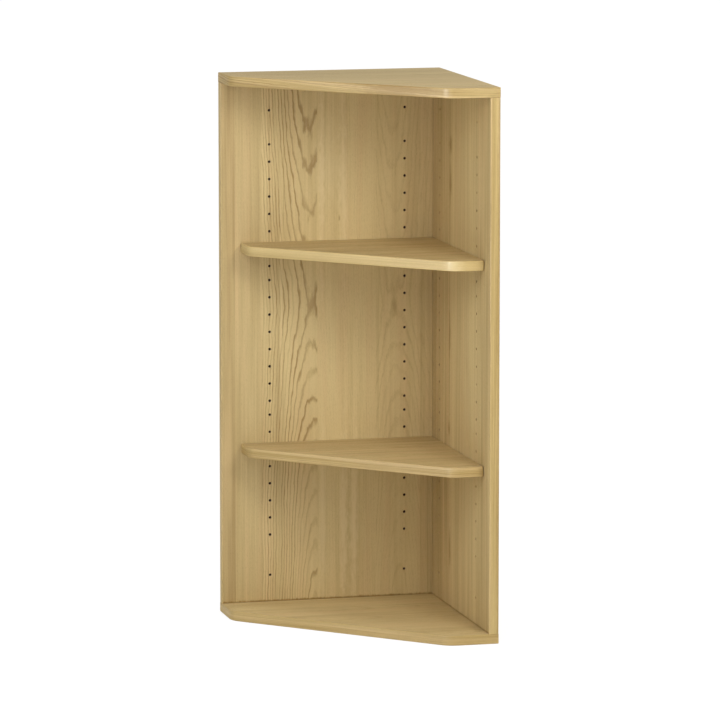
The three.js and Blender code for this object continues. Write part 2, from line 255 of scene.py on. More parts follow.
def close(piece):
    """Merges doubles, turns the faces outwards and leaves edit mode."""
    bpy.ops.mesh.select_mode(type="VERT")
    bpy.ops.mesh.select_all(action="SELECT")
    bpy.ops.mesh.remove_doubles(threshold=TINY)
    bpy.ops.mesh.normals_make_consistent(inside=False)
    bpy.ops.object.mode_set(mode="OBJECT")
    return piece


def block(name, one, other):
    """A cuboid between two opposite corners, as a start for shaping."""
    one, other = Vector(one), Vector(other)
    deselect()
    bpy.ops.mesh.primitive_cube_add(size=1, location=(one + other) / 2)
    piece = bpy.context.object
    piece.scale = [abs(part) for part in other - one]
    return settle(piece, name)


def facing(direction):
    """The turn that points +Z along a direction."""
    return direction.to_track_quat("Z", "Y")


def rod(name, start, direction, radius, depth, sides):
    """A round rod from its start point, as a start for shaping."""
    deselect()
    bpy.ops.mesh.primitive_cylinder_add(vertices=sides, radius=radius, depth=depth,
                                        location=start + direction * depth / 2,
                                        rotation=facing(direction).to_euler())
    return settle(bpy.context.object, name)


def copy_of(piece, name, move):
    """A copy with its own mesh, moved by a matrix."""
    twin = piece.copy()
    twin.data = piece.data.copy()
    twin.name = name
    bpy.context.scene.collection.objects.link(twin)
    twin.data.transform(move)
    return twin


def drop(*pieces):
    """Removes models once they have been copied."""
    for piece in pieces:
        bpy.data.objects.remove(piece)


def join(pieces, name):
    """Joins pieces into one object."""
    deselect()
    for piece in pieces:
        piece.select_set(True)
    bpy.context.view_layer.objects.active = pieces[0]
    if len(pieces) > 1:
        bpy.ops.object.join()
    bpy.context.object.name = name
    return bpy.context.object


def cut(piece, cutter):
    """Cuts one piece out of another, and uses it up."""
    take(piece)
    step = piece.modifiers.new("cut", "BOOLEAN")
    step.operation = "DIFFERENCE"
    step.object = cutter
    step.solver = "MANIFOLD"
    bpy.ops.object.modifier_apply(modifier=step.name)
    bpy.data.objects.remove(cutter)
    # The cut leaves an empty slot, which would shift the materials
    piece.data.materials.clear()
    if not piece.data.polygons:
        raise RuntimeError(f"the cut left nothing of {piece.name}")


def smooth(piece, degrees=30):
    """Smooth shading between faces that meet at less than an angle."""
    take(piece)
    bpy.ops.object.shade_smooth_by_angle(angle=math.radians(degrees))


def ease(piece, test, radius, segments=3):
    """Rounds the edges that pass a test."""
    edit(piece, "EDGE")
    if not pick(piece, "edges", test):
        raise RuntimeError(f"{piece.name} has no such edge to round")
    bpy.ops.mesh.bevel(offset=radius, segments=segments, profile=0.5, affect="EDGES")
    close(piece)


def hand_over(piece, body, node, materials):
    """Gives a finished piece its materials and body, and hides the CAD node that it stands for."""
    for material in materials:
        piece.data.materials.append(material)
    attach(piece, body)
    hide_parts(node)


def body_of(node):
    """The CAD body that a node belongs to."""
    return NODES[node]["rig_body"]


def middle(node):
    """The centre of a CAD node's box."""
    low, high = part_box(node)
    return (low + high) / 2


def size_of(node):
    """The size of a CAD node's box."""
    low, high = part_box(node)
    return high - low


def nodes_with(*words):
    """The CAD nodes whose names hold every one of these words."""
    return sorted(name for name in NODES if all(word in name for word in words))


# Edges of the boards in plan

EDGE_MAP = "Edge"  # the UV map of every edging
TURN_STEP = 3.75  # degrees between two sections of a swept corner
ARRIS_SEGMENTS = 5


class EdgePath:
    """The free edge of a board in plan, as straight runs and left turns. The board lies on its left."""

    def __init__(self, start, heading):
        self.start = start.copy()
        self.first_heading = heading.normalized()
        self.point = start.copy()
        self.heading = heading.normalized()
        self.travelled = 0.0
        self.stretches = []

    def run(self, distance):
        """Goes straight on, unless the distance is nothing."""
        if distance > TINY:
            self.stretches.append(("run", self.point.copy(), self.heading.copy(), distance, self.travelled))
            self.point += self.heading * distance
            self.travelled += distance
        return self

    def turn(self, degrees, radius):
        """Turns left along an arc."""
        arc = math.radians(degrees)
        centre = self.point + UP.cross(self.heading) * radius
        self.stretches.append(("turn", centre, self.point - centre, arc, self.travelled))
        rotation = Matrix.Rotation(arc, 3, "Z")
        self.point = centre + rotation @ (self.point - centre)
        self.heading = rotation @ self.heading
        self.travelled += radius * arc
        return self

    def measure(self, place):
        """How far along the edge a point lies, and how deep behind it."""
        spot = Vector((place.x, place.y, 0))
        best = None
        for kind, origin, way, extent, before in self.stretches:
            ray = spot - origin
            if kind == "run":
                along = min(max(ray.dot(way), 0.0), extent)
                depth = ray.dot(UP.cross(way))
                miss = (ray - way * along).length - abs(depth)
            else:
                arc = math.atan2(way.cross(ray).z, way.dot(ray))
                held = min(max(arc, 0.0), extent)
                along = held * way.length
                depth = way.length - ray.length
                miss = abs(arc - held) * way.length
            if best is None or miss < best[0] - TINY:
                best = (miss, before + along, depth)
        return best[1], best[2]


def tangent(degrees, radius):
    """How far before a corner its rounding starts."""
    return radius * math.tan(math.radians(degrees) / 2)


def board_path(sizes, overrun=0.0):
    """The free edge of the top and bottom boards, from the +Y wall to the +X wall."""
    end_run = sizes.end_length - tangent(45, sizes.corner_radius)
    diagonal = (REACH - sizes.end_length) * math.sqrt(2) - 2 * tangent(45, sizes.corner_radius)
    path = EdgePath(plan(REACH, -overrun), Vector((0, -1, 0)))
    path.run(end_run + overrun).turn(45, sizes.corner_radius).run(diagonal)
    return path.turn(45, sizes.corner_radius).run(end_run + overrun)


def shelf_end(sizes):
    """How far from the wall a shelf's diagonal starts."""
    return sizes.end_length - tangent(45, SHELF_RECESS)


def shelf_path(sizes):
    """The free edge of a shelf, from where it leaves the back panel to where it meets the side panel."""
    front, back = sizes.shelf_front_radius, sizes.shelf_back_radius
    end_run = shelf_end(sizes) - SHELF_NEAR - back - tangent(45, front)
    diagonal = (SHELF_REACH - shelf_end(sizes)) * math.sqrt(2) - 2 * tangent(45, front)
    path = EdgePath(plan(SHELF_REACH - back, SHELF_NEAR), Vector((-1, 0, 0)))
    path.turn(90, back).run(end_run).turn(45, front).run(diagonal)
    return path.turn(45, front).run(end_run).turn(90, back)


def sweep(name, path, inner, outer, low, high, arris=0.0):
    """A strip along an edge path, from inner behind the line to outer in front of it."""
    leftward = UP.cross(path.first_heading)
    centre = path.start + leftward * (inner - outer) / 2 + UP * (low + high) / 2
    turn = Matrix((leftward, UP, path.first_heading)).transposed().to_euler()
    deselect()
    bpy.ops.mesh.primitive_plane_add(size=1, location=centre, rotation=turn)
    strip = bpy.context.object
    strip.scale = (inner + outer, high - low, 1)
    settle(strip, name)
    edit(strip)
    if arris:
        line = path.start - leftward * outer
        pick(strip, "verts", lambda vert: abs((vert.co - line).dot(leftward)) < TINY)
        bpy.ops.mesh.bevel(offset=arris, segments=ARRIS_SEGMENTS, profile=0.5, affect="VERTICES")
    bpy.ops.mesh.select_all(action="SELECT")
    for kind, origin, way, extent, _ in path.stretches:
        if kind == "run":
            bpy.ops.mesh.extrude_region_move(TRANSFORM_OT_translate={"value": way * extent})
        else:
            steps = math.ceil(math.degrees(extent) / TURN_STEP)
            # A positive angle spins clockwise seen from above
            bpy.ops.mesh.spin(steps=steps, angle=-extent, center=origin, axis=UP)
    return close(strip)


def lay_map(piece, find):
    """Writes a UV map in metres. find gives a point's place along the edge and round its section."""
    layers = piece.data.uv_layers
    layer = layers[0] if layers else layers.new()
    layer.name = EDGE_MAP
    for loop in piece.data.loops:
        layer.data[loop.index].uv = find(piece.data.vertices[loop.vertex_index].co)


def lay_along(strip, path, middle_height):
    """Maps a strip along its path, and round its section from the bottom face to the top face."""
    def find(spot):
        along, depth = path.measure(spot)
        return along, spot.z + math.copysign(max(depth, 0.0), spot.z - middle_height)
    lay_map(strip, find)


# Node helpers

def feed(tree, socket, value):
    """Sets a socket, or links another node's output to it."""
    if isinstance(value, bpy.types.NodeSocket):
        tree.links.new(value, socket)
    elif socket.type == "RGBA":
        socket.default_value = (*value[:3], 1.0)
    else:
        socket.default_value = value


def add(tree, kind, values=None, **settings):
    """Adds a node. values pairs its sockets with numbers, colours or other nodes' outputs."""
    made = tree.nodes.new(kind)
    for key, value in settings.items():
        setattr(made, key, value)
    for key, value in (values or {}).items():
        feed(tree, made.inputs[key], value)
    return made


def calc(tree, operation, *terms, clamp=False):
    """A Math node's result."""
    made = add(tree, "ShaderNodeMath", dict(enumerate(terms)), operation=operation, use_clamp=clamp)
    return made.outputs[0]


def blend_colours(tree, share_of_second, first, second):
    """Two colours mixed."""
    made = add(tree, "ShaderNodeMix", data_type="RGBA")
    for key, value in (("Factor_Float", share_of_second), ("A_Color", first), ("B_Color", second)):
        socket = next(item for item in made.inputs if item.identifier == key)
        feed(tree, socket, value)
    return next(item for item in made.outputs if item.identifier == "Result_Color")


def window(tree, value, low, high, start=0.0, end=1.0):
    """A smooth rise from start at low to end at high."""
    values = {"Value": value, "From Min": low, "From Max": high, "To Min": start, "To Max": end}
    return add(tree, "ShaderNodeMapRange", values, interpolation_type="SMOOTHSTEP").outputs["Result"]


# Blotches of noise: their size across, along and through the wood in metres, then detail and roughness
BLOTCHES = {
    "slow drift": (0.09, 0.17, 0.2, 1.0, 0.5),
    "uneven year": (0.04, 0.35, 0.1, 1.0, 0.5),
    "ragged line": (0.009, 0.030, 0.05, 2.0, 0.5),
    "wide band": (0.055, 0.9, 0.2, 2.0, 0.5),
    "streak": (0.009, 0.45, 0.05, 3.0, 0.6),
    "thread": (0.0030, 0.30, 0.02, 2.0, 0.5),
    "fibre": (0.0011, 0.05, 0.004, 3.0, 0.6),
    "blush": (0.020, 0.5, 0.05, 2.0, 0.5),
    "faint patch": (0.03, 0.12, 0.05, 2.0, 0.5),
    "pore": (0.00028, 0.0045, 0.0009, 1.0, 0.5),
    "mark edge": (0.004, 0.015, 0.02, 3.0, 0.5),
    "core dust": (0.004, 0.004, 0.004, 4.0, 0.5),
    "bore dust": (0.0012, 0.0012, 0.0012, 3.0, 0.5),
    "turning mark": (0.0003, 0.0003, 0.0003, 4.0, 0.5),
    "metal blotch": (0.003, 0.003, 0.003, 2.0, 0.5),
    "beech fleck": (0.0006, 0.0006, 0.003, 2.0, 0.5),
}


def noise(tree, place, kind):
    """One kind of blotch, from 0 to 1."""
    across, along, through, detail, roughness = BLOTCHES[kind]
    squeezed = add(tree, "ShaderNodeVectorMath", {0: place, 1: (1 / across, 1 / along, 1 / through)},
                   operation="MULTIPLY").outputs[0]
    made = add(tree, "ShaderNodeTexNoise", {"Vector": squeezed, "Scale": 1.0, "Detail": detail,
                                            "Roughness": roughness})
    return made.outputs["Fac"]


def swing(tree, noise_value, amount):
    """Noise as a swing about nothing, amount each way."""
    return calc(tree, "MULTIPLY_ADD", noise_value, 2 * amount, -amount)


SOCKET_KINDS = {float: "Float", Vector: "Vector"}


def start_group(name, inputs, outputs):
    """A node group with named sockets. inputs gives each its default, and outputs each its kind."""
    group = bpy.data.node_groups.new(name, "ShaderNodeTree")
    for title, default in inputs.items():
        kind = SOCKET_KINDS.get(type(default), "Color")
        socket = group.interface.new_socket(title, in_out="INPUT", socket_type=f"NodeSocket{kind}")
        socket.default_value = (*default[:3], 1.0) if kind == "Color" else default
    for title, kind in outputs.items():
        group.interface.new_socket(title, in_out="OUTPUT", socket_type=f"NodeSocket{kind}")
    return group, group.nodes.new("NodeGroupInput").outputs, group.nodes.new("NodeGroupOutput").inputs


# Oak

RING_WIDTH = 4.6 * MM  # one year of growth
HEART_DEPTH = 71 * MM  # from the heart of the log to the middle of a sawn leaf
LOG_TAPER = 0.062  # how fast a leaf nears the heart, away from its saddle
SADDLE_REACH = 30 * MM  # half the flat stretch of the figure round the saddle
LOWER_TAPER = 1.6  # how much faster it nears the heart below the saddle than above
LOG_LEAN = 0.015  # how far the heart leans across the leaf, going up
SADDLE = 0.56  # height of the saddle, where the tips of the figure turn over
DRIFT = 6 * MM  # how far the figure wanders sideways
UNEVEN_YEARS = 0.45  # how far the lines of the figure wander, in years
RAGGED_YEARS = 0.40  # how far their edges fray
FIRST_YEAR = 508.5  # picks the run of strong and weak years
WEAKEST_YEAR = 0.28
LINE_START, LINE_END = 0.70, 0.98  # where a line darkens within its year
LINE_FADE = 0.16  # how soon it fades in the next year
TIP_WIDTH = (4 * MM, 18 * MM)  # where the tips in the middle of a leaf are fainter
TIP_STRENGTH = 0.85

# How far each kind of streak lightens or darkens the wood, as a share of the way from dark to light
BAND_SWING = 0.55
STREAK_SWING = 1.1
THREAD_SWING = 0.70
FIBRE_SWING = 0.18
BLUSH_STRENGTH = 0.55
BLUSH_RANGE = (0.45, 0.70)  # noise from where there is none to where it is full
PATCH_RANGE = (0.25, 0.60)  # noise from where the figure is faint to where it is full
FAINT_FIGURE = 0.45
PORE_LEVEL = 0.60  # noise above this is a pore
PORE_EDGE = 0.08
RING_PORES = 0.10  # how much more open the lines of the figure are
PORE_STRENGTH = 0.22
PORE_ROUGHNESS, FIBRE_ROUGHNESS = 0.25, 0.05
RING_HEIGHT, FIBRE_HEIGHT = -0.15, 0.12  # as shares of the depth of a pore
OAK_SHINE = 0.20  # satin lacquer reflects less than the shader's plain level
SEED_JUMP = (0.731, 1.913, 0.377)  # how far a seed of 1 moves the wood across, along and through


def oak_figure_group():
    """Year rings of a log, sawn flat: nested tips down the middle, and straight lines beside them."""
    name = "Oak Figure"
    if name in bpy.data.node_groups:
        return bpy.data.node_groups[name]
    group, given, result = start_group(
        name, {"Place": Vector(), "Centre": 0.0, "Saddle": SADDLE, "Ring Width": RING_WIDTH},
        {"Ring": "Float"})
    place = given["Place"]
    parts = add(group, "ShaderNodeSeparateXYZ", {0: place}).outputs
    drift = swing(group, noise(group, place, "slow drift"), DRIFT)
    off_centre = calc(group, "ADD", calc(group, "SUBTRACT", parts["X"], given["Centre"]), drift)
    from_saddle = calc(group, "SUBTRACT", parts["Y"], given["Saddle"])
    off_centre = calc(group, "MULTIPLY_ADD", from_saddle, -LOG_LEAN, off_centre)
    softened = calc(group, "SQRT", calc(group, "MULTIPLY_ADD", from_saddle, from_saddle, SADDLE_REACH ** 2))
    steeper = window(group, from_saddle, -SADDLE_REACH, SADDLE_REACH, LOWER_TAPER, 1.0)
    fallen = calc(group, "MULTIPLY", softened, steeper)
    depth = calc(group, "MULTIPLY_ADD", fallen, -LOG_TAPER, HEART_DEPTH)
    radius = calc(group, "SQRT", calc(group, "MULTIPLY_ADD", off_centre, off_centre,
                                      calc(group, "MULTIPLY", depth, depth)))
    uneven = swing(group, noise(group, place, "uneven year"), UNEVEN_YEARS)
    ragged = swing(group, noise(group, place, "ragged line"), RAGGED_YEARS)
    years = calc(group, "ADD", calc(group, "DIVIDE", radius, given["Ring Width"]),
                 calc(group, "ADD", uneven, ragged))
    phase = calc(group, "FRACT", years)
    rise = window(group, phase, LINE_START, LINE_END)
    fall = window(group, phase, 0.0, LINE_FADE, 1.0, 0.0)
    whole_year = calc(group, "FLOOR", calc(group, "ADD", years, FIRST_YEAR))
    chance = add(group, "ShaderNodeTexWhiteNoise", {"W": whole_year}, noise_dimensions="1D").outputs["Value"]
    mostly_weak = calc(group, "MULTIPLY", chance, chance)
    strength = calc(group, "MULTIPLY_ADD", mostly_weak, 1 - WEAKEST_YEAR, WEAKEST_YEAR)
    ring = calc(group, "MULTIPLY", calc(group, "MAXIMUM", rise, fall), strength)
    faded = window(group, calc(group, "ABSOLUTE", off_centre), *TIP_WIDTH, TIP_STRENGTH, 1.0)
    feed(group, result["Ring"], calc(group, "MULTIPLY", ring, faded))
    return group


def oak_wood_group(oak):
    """Oak seen along the grain: streaks, rings, fibres and open pores, as colour, roughness and height."""
    name = "Oak Wood"
    if name in bpy.data.node_groups:
        return bpy.data.node_groups[name]
    group, given, result = start_group(
        name,
        {"Place": Vector(), "Centre": 0.0, "Saddle": SADDLE, "Seed": 0.0, "Figure": 0.3, "Streaks": 0.5,
         "Tone": 0.5, "Ring Width": RING_WIDTH, "Light": oak.light, "Dark": oak.dark,
         "Ring Colour": oak.ring, "Blush": oak.blush, "Pore Colour": oak.pore, "Roughness": oak.roughness},
        {"Color": "Color", "Roughness": "Float", "Height": "Float"})
    jump = [calc(group, "MULTIPLY", given["Seed"], step) for step in SEED_JUMP]
    jump_by = add(group, "ShaderNodeCombineXYZ", dict(enumerate(jump))).outputs[0]
    wood = add(group, "ShaderNodeVectorMath", {0: given["Place"], 1: jump_by}, operation="ADD").outputs[0]
    ring = add(group, "ShaderNodeGroup", {
        "Place": wood, "Centre": calc(group, "ADD", given["Centre"], jump[0]),
        "Saddle": calc(group, "ADD", given["Saddle"], jump[1]), "Ring Width": given["Ring Width"]},
        node_tree=oak_figure_group()).outputs["Ring"]

    fibre = noise(group, wood, "fibre")
    tone = calc(group, "ADD", given["Tone"], swing(group, noise(group, wood, "wide band"), BAND_SWING))
    for kind, amount in (("streak", STREAK_SWING), ("thread", THREAD_SWING)):
        streak = swing(group, noise(group, wood, kind), amount)
        tone = calc(group, "ADD", tone, calc(group, "MULTIPLY", streak, given["Streaks"]))
    tone = calc(group, "ADD", tone, swing(group, fibre, FIBRE_SWING), clamp=True)
    base = blend_colours(group, tone, given["Dark"], given["Light"])
    blush = window(group, noise(group, wood, "blush"), *BLUSH_RANGE)
    base = blend_colours(group, calc(group, "MULTIPLY", blush, BLUSH_STRENGTH), base, given["Blush"])
    patchy = window(group, noise(group, wood, "faint patch"), *PATCH_RANGE, FAINT_FIGURE, 1.0)
    ring_strength = calc(group, "MULTIPLY", given["Figure"], patchy)
    base = blend_colours(group, calc(group, "MULTIPLY", ring, ring_strength), base, given["Ring Colour"])

    threshold = calc(group, "MULTIPLY_ADD", ring, -RING_PORES, PORE_LEVEL)
    pore = window(group, calc(group, "SUBTRACT", noise(group, wood, "pore"), threshold), 0.0, PORE_EDGE)
    feed(group, result["Color"], blend_colours(group, calc(group, "MULTIPLY", pore, PORE_STRENGTH), base,
                                               given["Pore Colour"]))
    rough = calc(group, "ADD", given["Roughness"], calc(group, "MULTIPLY", pore, PORE_ROUGHNESS))
    feed(group, result["Roughness"], calc(group, "ADD", rough, swing(group, fibre, FIBRE_ROUGHNESS)))
    sunk = calc(group, "MULTIPLY_ADD", pore, -1.0, swing(group, fibre, FIBRE_HEIGHT))
    feed(group, result["Height"], calc(group, "MULTIPLY_ADD", ring, RING_HEIGHT, sunk))
    return group


MARK_RUFFLE = 0.6  # how far the edge of a mark frays, as a share of its half width
MARK_FADE = (0.1, 1.1)  # where it starts to fade and where it has gone


def mark_and_painted_light_group():
    """A long soft fleck in wood, as a mask. It also lays patches of painted shade and painted highlight."""
    name = "Wood Mark"
    if name in bpy.data.node_groups:
        return bpy.data.node_groups[name]
    group, given, result = start_group(
        name, {"Place": Vector(), "Across": 0.0, "Along": 0.0, "Half Width": 5 * MM, "Half Length": 20 * MM,
               "Strength": 0.5},
        {"Mask": "Float"})
    parts = add(group, "ShaderNodeSeparateXYZ", {0: given["Place"]}).outputs
    ruffle = swing(group, noise(group, given["Place"], "mark edge"), MARK_RUFFLE)
    wide = calc(group, "DIVIDE", calc(group, "SUBTRACT", parts["X"], given["Across"]), given["Half Width"])
    tall = calc(group, "DIVIDE", calc(group, "SUBTRACT", parts["Y"], given["Along"]), given["Half Length"])
    out = calc(group, "SQRT", calc(group, "MULTIPLY_ADD", wide, wide, calc(group, "MULTIPLY", tall, tall)))
    mask = window(group, calc(group, "ADD", out, ruffle), *MARK_FADE, 1.0, 0.0)
    feed(group, result["Mask"], calc(group, "MULTIPLY", mask, given["Strength"]))
    return group


# Leaves of veneer on each face, from the wall outwards or from the front of a board to its back:
# where the leaf starts and its figure's centre as shares of the width, then figure, streaks, tone and seed
# The first leaf of the back panel is darker as painted shade in the corner of the unit.
BACK_LEAVES_AND_SHADE = [(0.000, 0.150, 0.10, 0.60, 0.74, 0.43), (0.094, 0.205, 0.16, 0.45, 0.98, 0.13),
               (0.300, 0.900, 0.05, 0.50, 0.95, 0.29), (0.563, 0.590, 0.95, 0.40, 0.85, 0.00),
               (0.816, 0.300, 0.05, 0.45, 0.58, 0.53), (0.936, 0.100, 0.08, 0.55, 0.26, 0.71)]
SIDE_LEAVES = [(0.000, 0.900, 0.08, 0.90, 0.32, 0.37), (0.345, 0.950, 0.05, 0.70, 0.66, 0.61),
               (0.640, 0.300, 0.06, 0.75, 0.66, 0.83), (0.860, 0.400, 0.08, 0.75, 0.60, 0.17)]
BOARD_LEAVES = [(0.000, 0.300, 0.20, 0.60, 0.66, 0.23), (0.330, 0.520, 0.10, 0.65, 0.70, 0.47),
                (0.660, 0.900, 0.15, 0.60, 0.64, 0.79)]
# The shelves' leaves are the boards' with lower tones: painted shade on the shelves, under the boards above
# them.
SHELF_LEAVES_PAINTED_SHADE = [(0.000, 0.300, 0.20, 0.60, 0.42, 0.23), (0.330, 0.520, 0.10, 0.65, 0.46, 0.47),
                (0.660, 0.900, 0.15, 0.60, 0.44, 0.79)]
SEED_SPREAD = 7.0  # from the seeds of the leaves to those of the wood

# Dark marks and pale streaks: across, along, half width and half length in millimetres, and strength. The
# first two or three of a panel are painted shade: a dark line in its joint with the bottom board, and the
# shade in the corner of the unit. The others are knots, flecks and lines of the grain. Distances across an
# edging count EDGING_FINENESS times over.
BACK_MARKS_AND_SHADE = [(209, 18, 600, 4.4, 1.00), (18, 600, 32, 700, 0.12), (90, 562, 7, 22, 0.35),
              (195, 728, 2.2, 7, 0.55), (247, 880, 3, 16, 0.3), (327, 760, 2.2, 330, 0.35),
              (314, 700, 1.6, 200, 0.35), (300, 800, 1.8, 180, 0.35)]
BACK_STREAKS = [(228, 800, 6, 260, 0.45), (187, 780, 10, 260, 0.40), (187, 180, 11, 220, 0.60),
                (227, 170, 8, 240, 0.35), (305, 600, 3, 300, 0.35), (168, 170, 11, 230, 0.55),
                (212, 830, 34, 110, 0.28)]
SIDE_MARKS_AND_SHADE = [(209, 18, 600, 4.4, 1.00), (18, 600, 110, 700, 0.14), (18, 500, 14, 900, 0.40),
              (146, 873, 13, 24, 0.75), (146, 800, 10, 45, 0.75), (143, 520, 9, 56, 0.80),
              (140, 350, 9, 18, 0.75), (146, 120, 9, 46, 0.65), (262, 480, 5, 30, 0.20),
              (182, 905, 5, 12, 0.25)]
# Painted shade along the outer arris of the side panel's edging, on the side turned away from the light.
SIDE_EDGING_PAINTED_SHADE = [(524, 500, 16.0, 1500, 0.50)]
TOP_EDGING_MARKS = [(2478, 440, 900, 120, 0.60)]
TOP_EDGING_STREAKS = [(2478, 605, 900, 80, 0.18)]
# A painted highlight on the rounded front corner of the upper shelf's edging.
UPPER_EDGING_PAINTED_HIGHLIGHT = [(1800, 488, 900, 24, 0.50)]
EDGING_FINENESS = 2.5  # how much finer the grain of the edging is than that of the veneer
EDGING_SADDLE = 0.22

# The veneer of each piece. axes says where across, along and through the grain run on it
ACROSS_BOARD = ("-Y", "X", "Z")
VENEERS = {
    "top": dict(axes=ACROSS_BOARD, leaves=BOARD_LEAVES, saddle=0.35, seed=2.1),
    "bottom": dict(axes=ACROSS_BOARD, leaves=BOARD_LEAVES, saddle=0.20, seed=4.7),
    "back": dict(axes=("-X", "Z", "Y"), leaves=BACK_LEAVES_AND_SHADE, saddle=SADDLE, seed=0.0, marks=BACK_MARKS_AND_SHADE,
                 pale=BACK_STREAKS),
    "side": dict(axes=("-Y", "Z", "X"), leaves=SIDE_LEAVES, saddle=SADDLE, seed=12.4, marks=SIDE_MARKS_AND_SHADE),
    "upper shelf": dict(axes=ACROSS_BOARD, leaves=SHELF_LEAVES_PAINTED_SHADE, saddle=0.1, seed=8.2),
    "lower shelf": dict(axes=ACROSS_BOARD, leaves=SHELF_LEAVES_PAINTED_SHADE, saddle=0.1, seed=15.6),
}
# Its edging. centre is the middle of the figure, and slope how far the grain slants along the edge
EDGINGS = {
    "top": dict(figure=0.60, streaks=1.4, tone=0.20, seed=1.7, ring_width=4.6 * MM, centre=0.930,
                slope=0.045, marks=TOP_EDGING_MARKS, pale=TOP_EDGING_STREAKS),
    "bottom": dict(figure=0.15, streaks=0.7, tone=0.25, seed=6.3, ring_width=3.0 * MM, centre=0.060),
    "back": dict(figure=0.15, streaks=0.6, tone=0.55, seed=3.1, ring_width=4.0 * MM, centre=0.150),
    "side": dict(figure=0.22, streaks=0.8, tone=0.46, seed=9.7, ring_width=3.4 * MM, centre=0.140,
                 marks=SIDE_EDGING_PAINTED_SHADE),
    "upper shelf": dict(figure=0.06, streaks=0.45, tone=0.66, seed=2.9, ring_width=3.0 * MM, centre=0.62,
                        pale=UPPER_EDGING_PAINTED_HIGHLIGHT),
    # The lower shelf's edging is darker than the upper one's partly for its figure and partly as painted
    # shade, for the light that falls off lower down.
    "lower shelf": dict(figure=0.50, streaks=1.10, tone=0.16, seed=5.2, ring_width=3.0 * MM, centre=0.25),
}


def start_material(name):
    """An empty material with a Principled shader. Returns the material, its tree and the shader."""
    material = bpy.data.materials.new(name)
    material.use_nodes = True
    tree = material.node_tree
    return material, tree, tree.nodes["Principled BSDF"]


def object_place(tree):
    """The place of a point on the piece."""
    return add(tree, "ShaderNodeTexCoord").outputs["Object"]


def bump(tree, shader, height, distance, strength=1.0):
    """Raises the surface by a height."""
    made = add(tree, "ShaderNodeBump", {"Height": height, "Distance": distance, "Strength": strength})
    tree.links.new(made.outputs[0], shader.inputs["Normal"])


def darker(tint, part):
    """A tint with only part of its light."""
    return tuple(part * level for level in tint)


def leaf_values(tree, across_share, leaves):
    """Looks up what is laid at a place across the sheet: centre share, figure, streaks, tone and seed."""
    tables = []
    for columns in ((1, 2, 3, 4), (5, 5, 5, 5)):
        ramp = add(tree, "ShaderNodeValToRGB", {0: across_share})
        ramp.color_ramp.interpolation = "CONSTANT"
        elements = ramp.color_ramp.elements
        while len(elements) < len(leaves):
            elements.new(0.5)
        for element, leaf in zip(elements, leaves):
            element.position = leaf[0]
        for element, leaf in zip(elements, leaves):
            element.color = [leaf[column] for column in columns]
        tables.append(ramp)
    parts = add(tree, "ShaderNodeSeparateColor", {0: tables[0].outputs["Color"]}).outputs
    seed = add(tree, "ShaderNodeSeparateColor", {0: tables[1].outputs["Color"]}).outputs["Red"]
    return parts["Red"], parts["Green"], parts["Blue"], tables[0].outputs["Alpha"], seed


def wood_place(tree, axes):
    """Object coordinates as distances across, along and through the grain. axes names them, as -X or Z."""
    parts = add(tree, "ShaderNodeSeparateXYZ", {0: object_place(tree)}).outputs
    found = []
    for axis in axes:
        value = parts[axis[-1]]
        if axis.startswith("-"):
            wall = WALL_X if axis.endswith("X") else WALL_Y
            value = calc(tree, "SUBTRACT", wall, value)
        found.append(value)
    return add(tree, "ShaderNodeCombineXYZ", dict(enumerate(found))).outputs[0], found[0]


def marked(tree, place, base, marks, tint):
    """A colour with flecks of another laid over it. Among them are painted shade and a painted highlight."""
    for across, along, half_width, half_length, strength in marks:
        mark = add(tree, "ShaderNodeGroup", {
            "Place": place, "Across": across * MM, "Along": along * MM, "Half Width": half_width * MM,
            "Half Length": half_length * MM, "Strength": strength}, node_tree=mark_and_painted_light_group())
        base = blend_colours(tree, mark.outputs["Mask"], base, tint)
    return base


def oak_surface(oak, tree, shader, place, values, marks, pale):
    """Lays oak on a shader at a place in the wood, with pale streaks and dark marks over it, among them a
    painted highlight and painted shade.
    """
    wood = add(tree, "ShaderNodeGroup", {"Place": place, **values}, node_tree=oak_wood_group(oak)).outputs
    base = marked(tree, place, wood["Color"], pale, oak.pale)
    feed(tree, shader.inputs["Base Color"], marked(tree, place, base, marks, oak.ring))
    tree.links.new(wood["Roughness"], shader.inputs["Roughness"])
    bump(tree, shader, wood["Height"], oak.pore_depth)
    shader.inputs["Specular IOR Level"].default_value = OAK_SHINE


def veneer_material(oak, piece, axes, leaves, saddle, seed, marks=(), pale=()):
    """Oak veneer laid in leaves, with the grain along one axis of the piece."""
    material, tree, shader = start_material(f"Oak Veneer {piece.title()}")
    place, across = wood_place(tree, axes)
    across_share = calc(tree, "DIVIDE", across, REACH)
    centre, figure, streaks, tone, leaf_seed = leaf_values(tree, across_share, leaves)
    values = {"Centre": calc(tree, "MULTIPLY", centre, REACH), "Saddle": saddle,
              "Seed": calc(tree, "MULTIPLY_ADD", leaf_seed, SEED_SPREAD, seed),
              "Figure": figure, "Streaks": streaks, "Tone": tone}
    oak_surface(oak, tree, shader, place, values, marks, pale)
    return material


